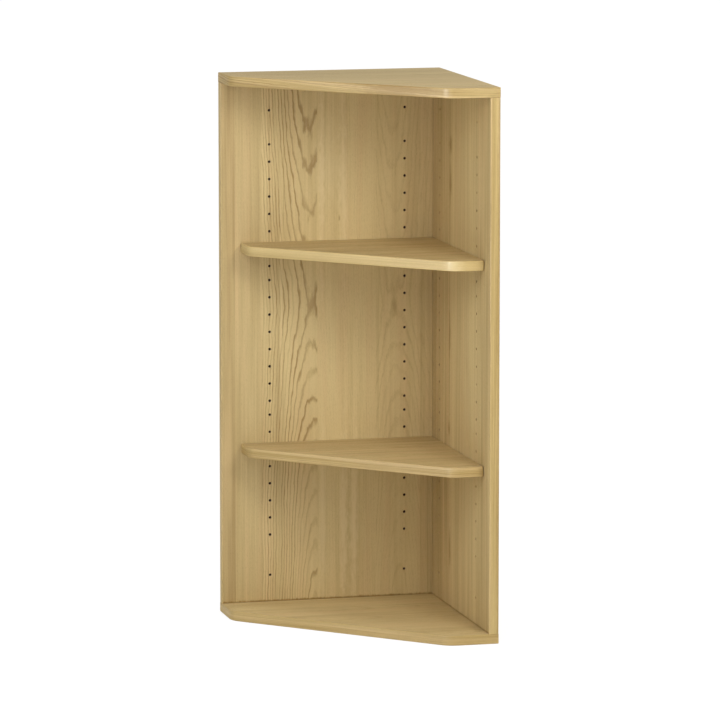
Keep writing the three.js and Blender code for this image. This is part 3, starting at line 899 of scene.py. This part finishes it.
def edging_material(oak, piece, figure, streaks, tone, seed, ring_width, centre, slope=0.0, marks=(),
                    pale=()):
    """Oak edging with its grain along the edge, read from the piece's own UV map."""
    material, tree, shader = start_material(f"Oak Edging {piece.title()}")
    flat = add(tree, "ShaderNodeSeparateXYZ",
               {0: add(tree, "ShaderNodeUVMap", uv_map=EDGE_MAP).outputs[0]}).outputs
    slanted = calc(tree, "MULTIPLY_ADD", flat["X"], slope, flat["Y"])
    fine = calc(tree, "MULTIPLY", slanted, EDGING_FINENESS)
    place = add(tree, "ShaderNodeCombineXYZ", {"X": fine, "Y": flat["X"], "Z": 0.0}).outputs[0]
    values = {"Centre": centre * EDGING_FINENESS, "Saddle": EDGING_SADDLE, "Seed": seed,
              "Light": oak.edging_light, "Dark": oak.edging_dark, "Figure": figure, "Streaks": streaks,
              "Tone": tone, "Ring Width": ring_width * EDGING_FINENESS}
    oak_surface(oak, tree, shader, place, values, marks, pale)
    return material


CHIPS_TO_METRE = 520.0
CHIP_SHADE, DUST_SHADE = 0.35, 0.5
# Painted shade in the bores: the depths at which it starts and at which it is full.
BORE_SHADE_START, BORE_SHADE_FULL = 0.5 * MM, 2.4 * MM  # depths at which a bore starts to darken and is dark


def core_material(oak):
    """Pressed board under the veneer, seen at bare edges."""
    name = "Core Board"
    if name in bpy.data.materials:
        return bpy.data.materials[name]
    material, tree, shader = start_material(name)
    place = object_place(tree)
    chips = add(tree, "ShaderNodeTexVoronoi", {"Vector": place, "Scale": CHIPS_TO_METRE}).outputs["Color"]
    grey = add(tree, "ShaderNodeRGBToBW", {0: chips}).outputs[0]
    dust = calc(tree, "MULTIPLY", noise(tree, place, "core dust"), DUST_SHADE)
    shade = calc(tree, "MULTIPLY_ADD", grey, CHIP_SHADE, dust, clamp=True)
    feed(tree, shader.inputs["Base Color"], blend_colours(tree, shade, oak.core, darker(oak.core, 0.62)))
    shader.inputs["Roughness"].default_value = 0.85
    bump(tree, shader, grey, 0.05 * MM)
    return material


def bore_painted_shade_material(oak):
    """The inside of a drilled hole: bare board at its mouth, and painted shade that darkens it further in.
    """
    name = "Drilled Bore"
    if name in bpy.data.materials:
        return bpy.data.materials[name]
    material, tree, shader = start_material(name)
    dust = noise(tree, object_place(tree), "bore dust")
    wall = blend_colours(tree, dust, oak.core, darker(oak.core, 0.8))
    depth = add(tree, "ShaderNodeAttribute", attribute_name="Depth").outputs["Fac"]
    # Painted shade, darker with depth.
    dark = window(tree, depth, BORE_SHADE_START, BORE_SHADE_FULL)
    feed(tree, shader.inputs["Base Color"], blend_colours(tree, dark, wall, oak.bore))
    shader.inputs["Roughness"].default_value = 0.95
    return material


def metal_material(name, tint, roughness, scuff):
    """Plated or cast metal with fine turning marks and soft blotches."""
    if name in bpy.data.materials:
        return bpy.data.materials[name]
    material, tree, shader = start_material(name)
    place = object_place(tree)
    blotch = noise(tree, place, "metal blotch")
    dull = calc(tree, "MULTIPLY", blotch, scuff)
    feed(tree, shader.inputs["Base Color"], blend_colours(tree, dull, tint, darker(tint, 0.72)))
    feed(tree, shader.inputs["Roughness"], calc(tree, "ADD", roughness, swing(tree, blotch, 0.08)))
    shader.inputs["Metallic"].default_value = 1.0
    bump(tree, shader, noise(tree, place, "turning mark"), 0.02 * MM, strength=0.5)
    return material


def steel_material(look):
    """Plated steel."""
    return metal_material("Plated Steel", look.steel, roughness=0.28, scuff=0.35)


def beech_material(look):
    """Beech dowel wood with short flecks."""
    material, tree, shader = start_material("Beech")
    fleck = noise(tree, object_place(tree), "beech fleck")
    shade = window(tree, fleck, 0.45, 0.75)
    feed(tree, shader.inputs["Base Color"], blend_colours(tree, shade, look.beech, darker(look.beech, 0.7)))
    shader.inputs["Roughness"].default_value = 0.7
    bump(tree, shader, fleck, 0.03 * MM)
    return material


# Boards, panels and shelves

BORE_SIDES = 32
ROUND_SIDES = 48
BOLT_SIDES = 32
CLEARANCE = 0.3 * MM  # round a fitting in its bore
OVERRUN = 2 * MM  # how far a cutter sticks out of what it cuts
CUTTER_ROOM = 12 * MM  # how far the cutter of an edge reaches in front of it
SKIN = 1.4 * MM  # faces nearer than this to the outside of a board aren't in a hole
CORE_SLOT, BORE_SLOT = 1, 2  # places of core board and bore colour among a board's materials

# Bores for fittings: diameter without clearance, and depth
BOARD_BORES = {"cam_bolt": (6 * MM, 11.5 * MM), "dowel": (8 * MM, 12 * MM)}
PANEL_BORES = {"cam_bolt": (7 * MM, 34 * MM), "dowel": (8 * MM, 19 * MM)}
SCREW_BORE = (6.8 * MM, 50.5 * MM)
SCREW_HEAD_BORE = (10 * MM, 5.1 * MM)
BACK_CORNER_DOWEL_BORE = (8 * MM, 10.5 * MM)
SIDE_CORNER_DOWEL_BORE = (8 * MM, 20.5 * MM)
CAM_POCKET_DEPTH = 12.5 * MM


def drill(piece, places, direction, diameter, depth, sides=BORE_SIDES):
    """Cuts round bores of one size, which start at faces and run in one direction."""
    first = rod("bore", places[0] - direction * OVERRUN, direction, diameter / 2, depth + OVERRUN, sides)
    copies = [copy_of(first, "bore", Matrix.Translation(place - places[0])) for place in places[1:]]
    cut(piece, join([first, *copies], "bores"))


def drill_for(piece, nodes, face, direction, bore, sides=BORE_SIDES):
    """Drills for fittings from a face, given by its place on the axis of the direction."""
    through = max(range(3), key=lambda axis: abs(direction[axis]))
    places = [middle(node) for node in nodes]
    for place in places:
        place[through] = face
    diameter, depth = bore
    drill(piece, places, direction, diameter + 2 * CLEARANCE, depth, sides)


def paint_inside(piece, low, high, through):
    """Core board on bare edges, which don't face along the axis called through, and bore colour in drilled
    holes, which lie inside the block between low and high. Notes how deep each point lies in the block, for
    the painted shade in the bores."""
    depth = piece.data.attributes.new("Depth", "FLOAT", "POINT")
    for vert in piece.data.vertices:
        depth.data[vert.index].value = max(0.0, min(min(vert.co - low), min(high - vert.co)))
    for face in piece.data.polygons:
        if all(low[axis] + SKIN < face.center[axis] < high[axis] - SKIN for axis in range(3)):
            face.material_index = BORE_SLOT
        elif abs(face.normal[through]) < 0.5:
            face.material_index = CORE_SLOT


def hand_over_board(board, node, oak, veneer):
    """Hands over a board with veneer, bare edges and bores."""
    hand_over(board, body_of(node), node, [veneer, core_material(oak), bore_painted_shade_material(oak)])


def hand_over_edging(edging, node, material):
    """Hands over the edging of the board that a node stands for."""
    band = f"{node}_edge_band"
    hand_over(edging, body_of(band), band, [material])


def cut_to_edge(board, path, low, high):
    """Cuts a board back to the line behind its edging."""
    behind = BAND_THICKNESS + GLUE_LINE
    cut(board, sweep("edge_cutter", path, behind, CUTTER_ROOM, low - OVERRUN, high + OVERRUN))


def cut_diagonal(board, reach, start):
    """Cuts off the corner of a board in front of its diagonal."""
    edit(board)
    bpy.ops.mesh.select_all(action="SELECT")
    bpy.ops.mesh.bisect(plane_co=plan(reach, start), plane_no=(-1, -1, 0), use_fill=True, clear_outer=True)
    close(board)


def lies_at(edge, axis, value):
    """True for an edge with both ends at a value of an axis."""
    return all(abs(vert.co[axis] - value) < TINY for vert in edge.verts)


def is_level(edge):
    """True for an edge whose ends are equally high."""
    return lies_at(edge, 2, edge.verts[0].co.z)


def make_board(sizes, oak, end, veneer, edging):
    """The top or bottom board and its edging."""
    node = f"{end}_board"
    low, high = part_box(node)
    board = block(f"{node}_veneered", low, high)
    cut_diagonal(board, REACH, sizes.end_length)
    ease(board, lambda edge: is_level(edge) and (lies_at(edge, 0, WALL_X) or lies_at(edge, 1, WALL_Y)),
         sizes.eased_edge)
    cut_to_edge(board, board_path(sizes, OVERRUN), low.z, high.z)
    face = low.z if end == "top" else high.z
    for word, bore in BOARD_BORES.items():
        drill_for(board, nodes_with(f"_{end}_{word}"), face, TO_BOARD[end], bore)
    paint_inside(board, low, high, 2)
    smooth(board)
    hand_over_board(board, node, oak, veneer)

    low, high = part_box(f"{node}_edge_band")
    path = board_path(sizes)
    band = sweep(f"{node}_edging", path, BAND_THICKNESS, 0.0, low.z, high.z, sizes.arris)
    lay_along(band, path, (low.z + high.z) / 2)
    smooth(band)
    hand_over_edging(band, node, edging)


def column_heights(sizes):
    """The heights of every pin hole of a column."""
    step = (sizes.holes_in_group - 1) * sizes.hole_pitch + sizes.group_gap
    grouped = [sizes.lowest_group_hole + group * step + hole * sizes.hole_pitch
               for group in range(sizes.groups) for hole in range(sizes.holes_in_group)]
    return [sizes.bottom_hole, *grouped, TOP_HEIGHT - sizes.top_hole_drop]


def column_places(sizes, panel):
    """The two columns of pin holes on a panel's inner face, as points at floor height."""
    from_wall = (REACH - sizes.column_from_end, PANEL_THICKNESS + sizes.column_from_corner)
    if panel == "back":
        return [plan(distance, PANEL_THICKNESS) for distance in from_wall]
    return [plan(PANEL_THICKNESS, distance) for distance in from_wall]


def drill_panel(sizes, core, panel):
    """Pin holes, cam pockets, and bores for bolts and dowels in a panel."""
    roomward = TO_ROOM[panel]
    low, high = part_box(f"{panel}_panel")
    heights = column_heights(sizes)
    holes = [place + UP * height for place in column_places(sizes, panel) for height in heights]
    drill(core, holes, -roomward, sizes.hole_diameter, sizes.hole_depth)
    cams = nodes_with(f"{panel}_", "cam_lock")
    pocket = (size_of(cams[0]).z, CAM_POCKET_DEPTH)
    drill_for(core, cams, high[THROUGH[panel]], roomward, pocket, ROUND_SIDES)
    for end, face in (("top", high.z), ("bottom", low.z)):
        for word, bore in PANEL_BORES.items():
            drill_for(core, nodes_with(f"{panel}_{end}_{word}"), face, -TO_BOARD[end], bore)


def drill_corner_joint(core, panel):
    """Bores for the screws and dowels that join the two panels."""
    roomward = TO_ROOM["back"]
    inner_face = WALL_Y - PANEL_THICKNESS
    screws, dowels = nodes_with("corner_screw"), nodes_with("corner_dowel")
    drill_for(core, screws, WALL_Y, roomward, SCREW_BORE)
    if panel == "back":
        drill_for(core, screws, WALL_Y, roomward, SCREW_HEAD_BORE)
        drill_for(core, dowels, inner_face, -roomward, BACK_CORNER_DOWEL_BORE)
    else:
        drill_for(core, dowels, inner_face, roomward, SIDE_CORNER_DOWEL_BORE)


def make_panel(sizes, oak, panel, veneer, edging):
    """An upright panel and its edging."""
    node = f"{panel}_panel"
    through = THROUGH[panel]
    low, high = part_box(node)
    core = block(f"{node}_veneered", low, high)

    def in_corner(edge):
        # Where the inner face meets the floor of the unit, and for the side panel the back panel too
        upright = panel == "side" and lies_at(edge, 1, high.y)
        return lies_at(edge, through, low[through]) and (lies_at(edge, 2, low.z) or upright)
    ease(core, in_corner, sizes.joint_arris)
    drill_panel(sizes, core, panel)
    drill_corner_joint(core, panel)
    paint_inside(core, low, high, through)
    smooth(core)
    hand_over_board(core, node, oak, veneer)

    across = 1 - through
    low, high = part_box(f"{node}_edge_band")
    band = block(f"{node}_edging", low, high)
    ease(band, lambda edge: lies_at(edge, across, low[across]) and not is_level(edge), sizes.arris,
         ARRIS_SEGMENTS)
    lay_map(band, lambda spot: (spot.z, spot[through] + spot[across] - low[across]))
    smooth(band)
    hand_over_edging(band, node, edging)


def shelf_models(sizes):
    """A shelf with its pin notches, and its edging, both at the height of the lower shelf."""
    low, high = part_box("lower_shelf")
    board = block("shelf", plan(SHELF_REACH, SHELF_REACH, low.z), plan(SHELF_NEAR, SHELF_NEAR, high.z))
    cut_diagonal(board, SHELF_REACH, shelf_end(sizes))
    cut_to_edge(board, shelf_path(sizes), low.z, high.z)
    notches = []
    for panel, roomward in TO_ROOM.items():
        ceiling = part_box(f"lower_shelf_{panel}_pin_1")[1].z + sizes.notch_above_pin
        sideways = UP.cross(roomward) * sizes.notch_width / 2
        for place in column_places(sizes, panel):
            mouth = place - roomward * OVERRUN - sideways
            deep = place + roomward * sizes.notch_reach + sideways
            notches.append(block("notch", mouth + UP * (low.z - OVERRUN), deep + UP * ceiling))
    cut(board, join(notches, "notches"))
    paint_inside(board, low, high, 2)
    smooth(board)

    low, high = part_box("lower_shelf_edge_band")
    band = sweep("shelf_edging", shelf_path(sizes), BAND_THICKNESS, 0.0, low.z, high.z, sizes.arris)
    smooth(band)
    return board, band


def make_shelf(sizes, oak, node, models, veneer, edging):
    """A loose shelf and its edging, copied from the models."""
    low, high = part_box(node)
    lift = Matrix.Translation(UP * (low.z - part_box("lower_shelf")[0].z))
    board = copy_of(models[0], f"{node}_veneered", lift)
    hand_over_board(board, node, oak, veneer)
    band = copy_of(models[1], f"{node}_edging", lift)
    lay_along(band, shelf_path(sizes), (low.z + high.z) / 2)
    hand_over_edging(band, node, edging)


# Fittings, each modelled once, standing on the origin

FLUTE_EVERY = 4  # sides of a dowel from one flute to the next
FLUTE_RADIUS = 0.92  # radius in a flute, as a share of the dowel's
RIDGE_TOP, RIDGE_END = 0.35, 0.7  # of the ridge of a thread, as shares of its pitch


def turned(name, profile, sides=ROUND_SIDES):
    """A round piece, extruded ring by ring. profile pairs each radius with its height."""
    radius, height = profile[0]
    deselect()
    bpy.ops.mesh.primitive_circle_add(vertices=sides, radius=radius, fill_type="NGON", location=UP * height)
    piece = settle(bpy.context.object, name)
    edit(piece, "FACE")
    bpy.ops.mesh.select_all(action="SELECT")
    for next_radius, next_height in profile[1:]:
        bpy.ops.mesh.extrude_region_move(TRANSFORM_OT_translate={"value": UP * (next_height - height)})
        if next_radius != radius:
            bpy.ops.transform.resize(value=(next_radius / radius,) * 3, center_override=UP * next_height)
        radius, height = next_radius, next_height
    return close(piece)


def place_like(model, nodes, axis, word, material):
    """Copies a fitting into the boxes of like nodes, so that it stands along an axis."""
    for node in nodes:
        start = middle(node) - axis * abs(axis.dot(size_of(node))) / 2
        move = Matrix.Translation(start) @ facing(axis).to_matrix().to_4x4()
        piece = copy_of(model, f"{node}_{word}", move)
        hand_over(piece, body_of(node), node, [material])


def thread(radius, start, end, pitch=2.0 * MM, depth=0.6 * MM):
    """The profile of a screw thread, as ridges one pitch apart."""
    ridges = []
    root = radius - depth
    for number in range(int((end - start) / pitch)):
        foot = start + number * pitch
        ridges += [(root, foot), (radius, foot + RIDGE_TOP * pitch), (root, foot + RIDGE_END * pitch)]
    return ridges


def pin_model():
    """A shelf pin: a shank for the hole and a collared head for the notch."""
    size = size_of(nodes_with("_back_pin_")[0])
    overall, head = size.y, size.z / 2
    shank = 2.2 * MM
    mouth = 10.5 * MM + CLEARANCE
    soft = 0.4 * MM
    groove = head - 0.3 * MM
    piece = turned("pin", [
        (shank - 0.8 * MM, 0.0), (shank - 0.25 * MM, 0.35 * MM), (shank, 0.9 * MM), (shank, mouth),
        (head - soft, mouth), (head, mouth + soft), (head, mouth + 1.4 * MM), (groove, mouth + 1.6 * MM),
        (groove, mouth + 2.0 * MM), (head, mouth + 2.2 * MM), (head, overall - 0.9 * MM),
        (head - 0.25 * MM, overall - 0.35 * MM), (head - 0.8 * MM, overall)])
    smooth(piece)
    return piece


def bolt_model():
    """A cam bolt: a head for the cam, a neck, a shank, and a thread for the board."""
    size = size_of(nodes_with("cam_bolt")[0])
    overall, head = size.z, size.x / 2
    neck = 2.0 * MM
    root, crest = 2.4 * MM, 3.0 * MM
    thread_start, thread_end = overall - 11 * MM, overall - 1 * MM
    shank_end = thread_start - 0.3 * MM
    piece = turned("bolt", [
        (head - 0.8 * MM, 0.0), (head, 0.7 * MM), (head, 2.4 * MM), (neck, 3.0 * MM), (neck, 6.0 * MM),
        (head, 6.6 * MM), (head, shank_end), (root, shank_end), *thread(crest, thread_start, thread_end),
        (root, thread_end), (root - 0.8 * MM, overall)], BOLT_SIDES)
    smooth(piece, 40)
    return piece


def cam_model(boltward):
    """A die-cast cam lock: a rimmed drum with a cross slot, a mouth for the bolt and a pointer."""
    cam = nodes_with("back_", "cam_lock")[0]
    size = size_of(cam)
    deep, radius = size.y, size.z / 2
    bolt_height = WALL_Y - PANEL_THICKNESS / 2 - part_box(cam)[0].y
    rim = 0.5 * MM
    slot_depth, slot_reach, slot_half = 2.4 * MM, 4.5 * MM, 0.9 * MM
    mouth_radius, past_middle = 3.8 * MM, 1.8 * MM
    pointer_radius, pointer_depth = 0.8 * MM, 0.8 * MM
    piece = turned("cam", [
        (radius - rim, 0.0), (radius, rim), (radius, deep - rim), (radius - rim, deep),
        (radius - 1.1 * MM, deep), (radius - 1.4 * MM, deep - 0.4 * MM)])
    for x, y in ((slot_reach, slot_half), (slot_half, slot_reach)):
        cut(piece, block("slot", (-x, -y, deep - slot_depth), (x, y, deep + OVERRUN)))
    outside = radius + OVERRUN
    mouth = boltward * outside + UP * bolt_height
    cut(piece, rod("bolt_mouth", mouth, -boltward, mouth_radius, outside + past_middle, BORE_SIDES))
    tip = boltward * 5.2 * MM + UP * (deep + OVERRUN)
    cut(piece, rod("pointer", tip, -UP, pointer_radius, OVERRUN + pointer_depth, 3))
    smooth(piece)
    return piece


def dowel_model():
    """A fluted dowel."""
    overall = size_of(nodes_with("_top_dowel")[0]).z
    radius, tip = 4.0 * MM, 1.0 * MM
    piece = turned("dowel", [
        (radius - tip, 0.0), (radius, tip), (radius, overall - tip), (radius - tip, overall)])

    def in_flute(vert):
        side = round(math.atan2(vert.co.y, vert.co.x) / math.tau * ROUND_SIDES)
        return side % FLUTE_EVERY == 0
    edit(piece)
    pick(piece, "verts", in_flute)
    bpy.ops.transform.resize(value=(FLUTE_RADIUS, FLUTE_RADIUS, 1.0), center_override=(0, 0, 0))
    close(piece)
    smooth(piece, 25)
    return piece


def corner_screw_model():
    """A round-headed screw with a coarse thread and a hex socket. It stands on its tip."""
    size = size_of(nodes_with("corner_screw")[0])
    overall, head = size.y, size.z / 2
    shank, root, tip = 3.4 * MM, 2.6 * MM, 0.5 * MM
    socket_radius, socket_depth = 2.3 * MM, 2.5 * MM
    thread_end = 30.0 * MM
    edge = head - 0.4 * MM
    piece = turned("corner_screw", [
        (tip, 0.0), (root, 4.0 * MM), *thread(shank, 4.5 * MM, thread_end, pitch=3.0 * MM, depth=0.8 * MM),
        (root, thread_end), (shank, 31.0 * MM), (shank, overall - 5.0 * MM), (edge, overall - 2.4 * MM),
        (head, overall - 1.9 * MM), (head, overall - 0.4 * MM), (edge, overall)])
    cut(piece, rod("socket", UP * (overall + OVERRUN), -UP, socket_radius, OVERRUN + socket_depth, 6))
    smooth(piece, 40)
    return piece


# Stage

WHITE = (1.0, 1.0, 1.0)
# Far lamps: name, turn from -Y towards +X and height in degrees, strength, and the angle that each fills
FAR_LAMPS = [("left_lamp", -80, 32, 0.08, 45), ("top_lamp", 0, 90, 0.26, 24)]
FAR = 5.0
# Soft boxes: name, turn from -Y towards +X in degrees, distance, height, strength at the object, height of
# the place that it faces, width and height
SOFT_BOXES = [("key_box", 18, 2.2, 1.85, 0.45, TOP_HEIGHT / 2, 0.6, 0.6),
              ("left_front_box", -30, 1.6, 1.60, 0.29, TOP_HEIGHT / 2, 0.7, 0.7)]
# A box that only its reflection shows
GLINT_BOX = ("glint_box", -47, 1.9, 0.95, 3.20, 0.95, 0.34, 0.9)
FLOOR_DROP = 0.2 * MM  # from the underside of the bottom board to the floor
SENSOR_WIDTH = 36.0  # millimetres
NEAREST, FARTHEST = 0.05, 400.0  # what the camera shows


def make_camera(look):
    """The camera at the photograph's place."""
    data = bpy.data.cameras.new("camera")
    camera = bpy.data.objects.new("camera", data)
    bpy.context.scene.collection.objects.link(camera)
    data.sensor_width = SENSOR_WIDTH
    data.lens = look.camera_lens
    data.clip_start = NEAREST
    data.clip_end = FARTHEST
    camera.location = look.camera_place
    camera.rotation_euler = (math.pi / 2 - look.camera_pitch, 0.0, -look.camera_yaw)
    bpy.context.scene.camera = camera


def around(azimuth, distance, height):
    """The place at a turn in degrees from -Y towards +X, at a distance from the Z axis and at a height."""
    turn = math.radians(azimuth)
    return Vector((math.sin(turn) * distance, -math.cos(turn) * distance, height))


def add_lamp(name, kind, place, way):
    """A lamp at a place, which shines against a way that points from the object to it."""
    lamp = bpy.data.objects.new(name, bpy.data.lights.new(name, kind))
    bpy.context.scene.collection.objects.link(lamp)
    lamp.location = place
    lamp.rotation_euler = facing(way).to_euler()
    return lamp


def add_soft_box(name, azimuth, distance, height, strength, faces, width, tall):
    """A soft box that lights a place at a given strength."""
    place = around(azimuth, distance, height)
    lamp = add_lamp(name, "AREA", place, place - UP * faces)
    lamp.data.energy = strength * (math.pi * distance) ** 2
    lamp.data.shape = "RECTANGLE"
    lamp.data.size = width
    lamp.data.size_y = tall
    return lamp


def make_lamps():
    """Far lamps, which light every place alike, and soft boxes, which light the top more."""
    for name, azimuth, elevation, strength, spread in FAR_LAMPS:
        height = math.radians(elevation)
        way = around(azimuth, math.cos(height), math.sin(height))
        lamp = add_lamp(name, "SUN", way * FAR, way)
        lamp.data.energy = strength * math.pi
        lamp.data.angle = math.radians(spread)
    for box in SOFT_BOXES:
        add_soft_box(*box)
    add_soft_box(*GLINT_BOX).visible_diffuse = False


def make_surround(look):
    """A white surround, which lights the object at a plain level."""
    world = bpy.data.worlds.new("surround")
    bpy.context.scene.world = world
    world.use_nodes = True
    tree = world.node_tree
    tree.nodes.clear()
    path = add(tree, "ShaderNodeLightPath").outputs
    seen = calc(tree, "MAXIMUM", path["Is Camera Ray"], path["Is Transmission Ray"])
    plain, mirrored, white = (
        add(tree, "ShaderNodeBackground", {"Color": WHITE, "Strength": level}).outputs[0]
        for level in (look.surround, look.mirrored_surround, 1.0))
    lit = add(tree, "ShaderNodeMixShader", {0: path["Is Glossy Ray"], 1: plain, 2: mirrored}).outputs[0]
    mix = add(tree, "ShaderNodeMixShader", {0: seen, 1: lit, 2: white}).outputs[0]
    add(tree, "ShaderNodeOutputWorld", {"Surface": mix})


def make_floor(look):
    """A plain pale floor that fades into the white surround and keeps the object's shadow."""
    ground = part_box("bottom_board")[0].z - FLOOR_DROP
    deselect()
    bpy.ops.mesh.primitive_plane_add(size=look.floor_size, location=(0, 0, ground))
    floor = settle(bpy.context.object, "floor")
    material = bpy.data.materials.new("Pale Floor")
    material.use_nodes = True
    tree = material.node_tree
    tree.nodes.clear()
    path = add(tree, "ShaderNodeLightPath").outputs
    matt = add(tree, "ShaderNodeBsdfDiffuse", {"Color": look.floor_colour}).outputs[0]
    white = add(tree, "ShaderNodeEmission", {"Color": WHITE, "Strength": look.floor_level}).outputs[0]
    fade = calc(tree, "MULTIPLY", path["Is Camera Ray"], look.floor_glow)
    mix = add(tree, "ShaderNodeMixShader", {0: fade, 1: matt, 2: white}).outputs[0]
    add(tree, "ShaderNodeOutputMaterial", {"Surface": mix})
    floor.data.materials.append(material)


# Operators

def both_materials(oak, piece):
    """The veneer and the edging of a board, panel or shelf."""
    return veneer_material(oak, piece, **VENEERS[piece]), edging_material(oak, piece, **EDGINGS[piece])


class MakeBoards(bpy.types.Operator):
    """Make the top and bottom boards with their edging"""

    bl_idname = "shelf_unit.boards"
    bl_label = "Top and bottom boards"

    def execute(self, context):
        sizes, oak = context.scene.unit_sizes, context.scene.oak_look
        for end in TO_BOARD:
            make_board(sizes, oak, end, *both_materials(oak, end))
        return {"FINISHED"}


class MakePanels(bpy.types.Operator):
    """Make the back and side panels with their edging and holes"""

    bl_idname = "shelf_unit.panels"
    bl_label = "Back and side panels"

    def execute(self, context):
        sizes, oak = context.scene.unit_sizes, context.scene.oak_look
        for panel in TO_ROOM:
            make_panel(sizes, oak, panel, *both_materials(oak, panel))
        return {"FINISHED"}


class MakeShelves(bpy.types.Operator):
    """Make the two loose shelves with their edging and pin notches"""

    bl_idname = "shelf_unit.shelves"
    bl_label = "Loose shelves"

    def execute(self, context):
        sizes, oak = context.scene.unit_sizes, context.scene.oak_look
        models = shelf_models(sizes)
        for word in ("upper", "lower"):
            make_shelf(sizes, oak, f"{word}_shelf", models, *both_materials(oak, f"{word} shelf"))
        drop(*models)
        return {"FINISHED"}


class MakePins(bpy.types.Operator):
    """Make the eight steel shelf pins"""

    bl_idname = "shelf_unit.pins"
    bl_label = "Shelf pins"

    def execute(self, context):
        steel = steel_material(context.scene.fitting_look)
        pin = pin_model()
        for panel, roomward in TO_ROOM.items():
            place_like(pin, nodes_with("shelf_", f"_{panel}_pin_"), roomward, "turned", steel)
        drop(pin)
        return {"FINISHED"}


class MakeFittings(bpy.types.Operator):
    """Make the cam locks and cam bolts that hold the boards to the panels"""

    bl_idname = "shelf_unit.fittings"
    bl_label = "Cam locks and bolts"

    def execute(self, context):
        look = context.scene.fitting_look
        steel = steel_material(look)
        zinc = metal_material("Cast Zinc", look.zinc, roughness=0.46, scuff=0.6)
        bolt = bolt_model()
        # A cam model's +Y is up when the cam is in its panel
        cams = {end: cam_model(Vector((0, outward.z, 0))) for end, outward in TO_BOARD.items()}
        corners = [(panel, end) for panel in TO_ROOM for end in sorted(TO_BOARD)]
        for panel, end in corners:
            nodes = nodes_with(f"{panel}_{end}_cam_lock")
            place_like(cams[end], nodes, -TO_ROOM[panel], "cast", zinc)
        for panel, end in corners:
            place_like(bolt, nodes_with(f"{panel}_{end}_cam_bolt"), TO_BOARD[end], "turned", steel)
        drop(bolt, *cams.values())
        return {"FINISHED"}


class MakeDowels(bpy.types.Operator):
    """Make the fluted beech dowels"""

    bl_idname = "shelf_unit.dowels"
    bl_label = "Dowels"

    def execute(self, context):
        beech = beech_material(context.scene.fitting_look)
        dowel = dowel_model()
        for place, axis in (("back_", UP), ("corner_", -TO_ROOM["back"]), ("side_", UP)):
            place_like(dowel, nodes_with(place, "dowel"), axis, "turned", beech)
        drop(dowel)
        return {"FINISHED"}


class MakeCornerScrews(bpy.types.Operator):
    """Make the screws that join the back panel to the side panel"""

    bl_idname = "shelf_unit.corner_screws"
    bl_label = "Corner screws"

    def execute(self, context):
        steel = steel_material(context.scene.fitting_look)
        screw = corner_screw_model()
        place_like(screw, nodes_with("corner_screw"), -TO_ROOM["back"], "turned", steel)
        drop(screw)
        return {"FINISHED"}


class MakeStage(bpy.types.Operator):
    """Set up the floor, the lamps, the white surround and the camera"""

    bl_idname = "shelf_unit.stage"
    bl_label = "Stage"

    def execute(self, context):
        look = context.scene.stage_look
        make_floor(look)
        make_surround(look)
        make_lamps()
        make_camera(look)
        context.scene.view_settings.view_transform = "Standard"
        return {"FINISHED"}


OPERATORS = (MakeBoards, MakePanels, MakeShelves, MakePins, MakeFittings, MakeDowels, MakeCornerScrews,
             MakeStage)


class ShelfUnitPanel(bpy.types.Panel):
    """Lists the steps that make the shelf unit"""

    bl_idname = "VIEW3D_PT_shelf_unit"
    bl_label = "Shelf Unit"
    bl_space_type = "VIEW_3D"
    bl_region_type = "UI"
    bl_category = "Shelf Unit"

    def draw(self, context):
        for operator in OPERATORS:
            self.layout.operator(operator.bl_idname)
        for key in PROPERTY_GROUPS:
            group = getattr(context.scene, key)
            box = self.layout.box()
            for name in group.__annotations__:
                box.prop(group, name)


PROPERTY_GROUPS = {"unit_sizes": UnitSizes, "oak_look": OakLook, "fitting_look": FittingLook,
                   "stage_look": StageLook}


def register():
    for group in PROPERTY_GROUPS.values():
        bpy.utils.register_class(group)
    for name, group in PROPERTY_GROUPS.items():
        setattr(bpy.types.Scene, name, bpy.props.PointerProperty(type=group))
    for operator in OPERATORS:
        bpy.utils.register_class(operator)
    bpy.utils.register_class(ShelfUnitPanel)


def unregister():
    bpy.utils.unregister_class(ShelfUnitPanel)
    for operator in reversed(OPERATORS):
        bpy.utils.unregister_class(operator)
    for name, group in PROPERTY_GROUPS.items():
        delattr(bpy.types.Scene, name)
        bpy.utils.unregister_class(group)


def main():
    register()
    bpy.ops.shelf_unit.stage()
    bpy.ops.shelf_unit.boards()
    bpy.ops.shelf_unit.panels()
    bpy.ops.shelf_unit.shelves()
    bpy.ops.shelf_unit.pins()
    bpy.ops.shelf_unit.fittings()
    bpy.ops.shelf_unit.dowels()
    bpy.ops.shelf_unit.corner_screws()
    deselect()


if __name__ == "__main__":
    main()
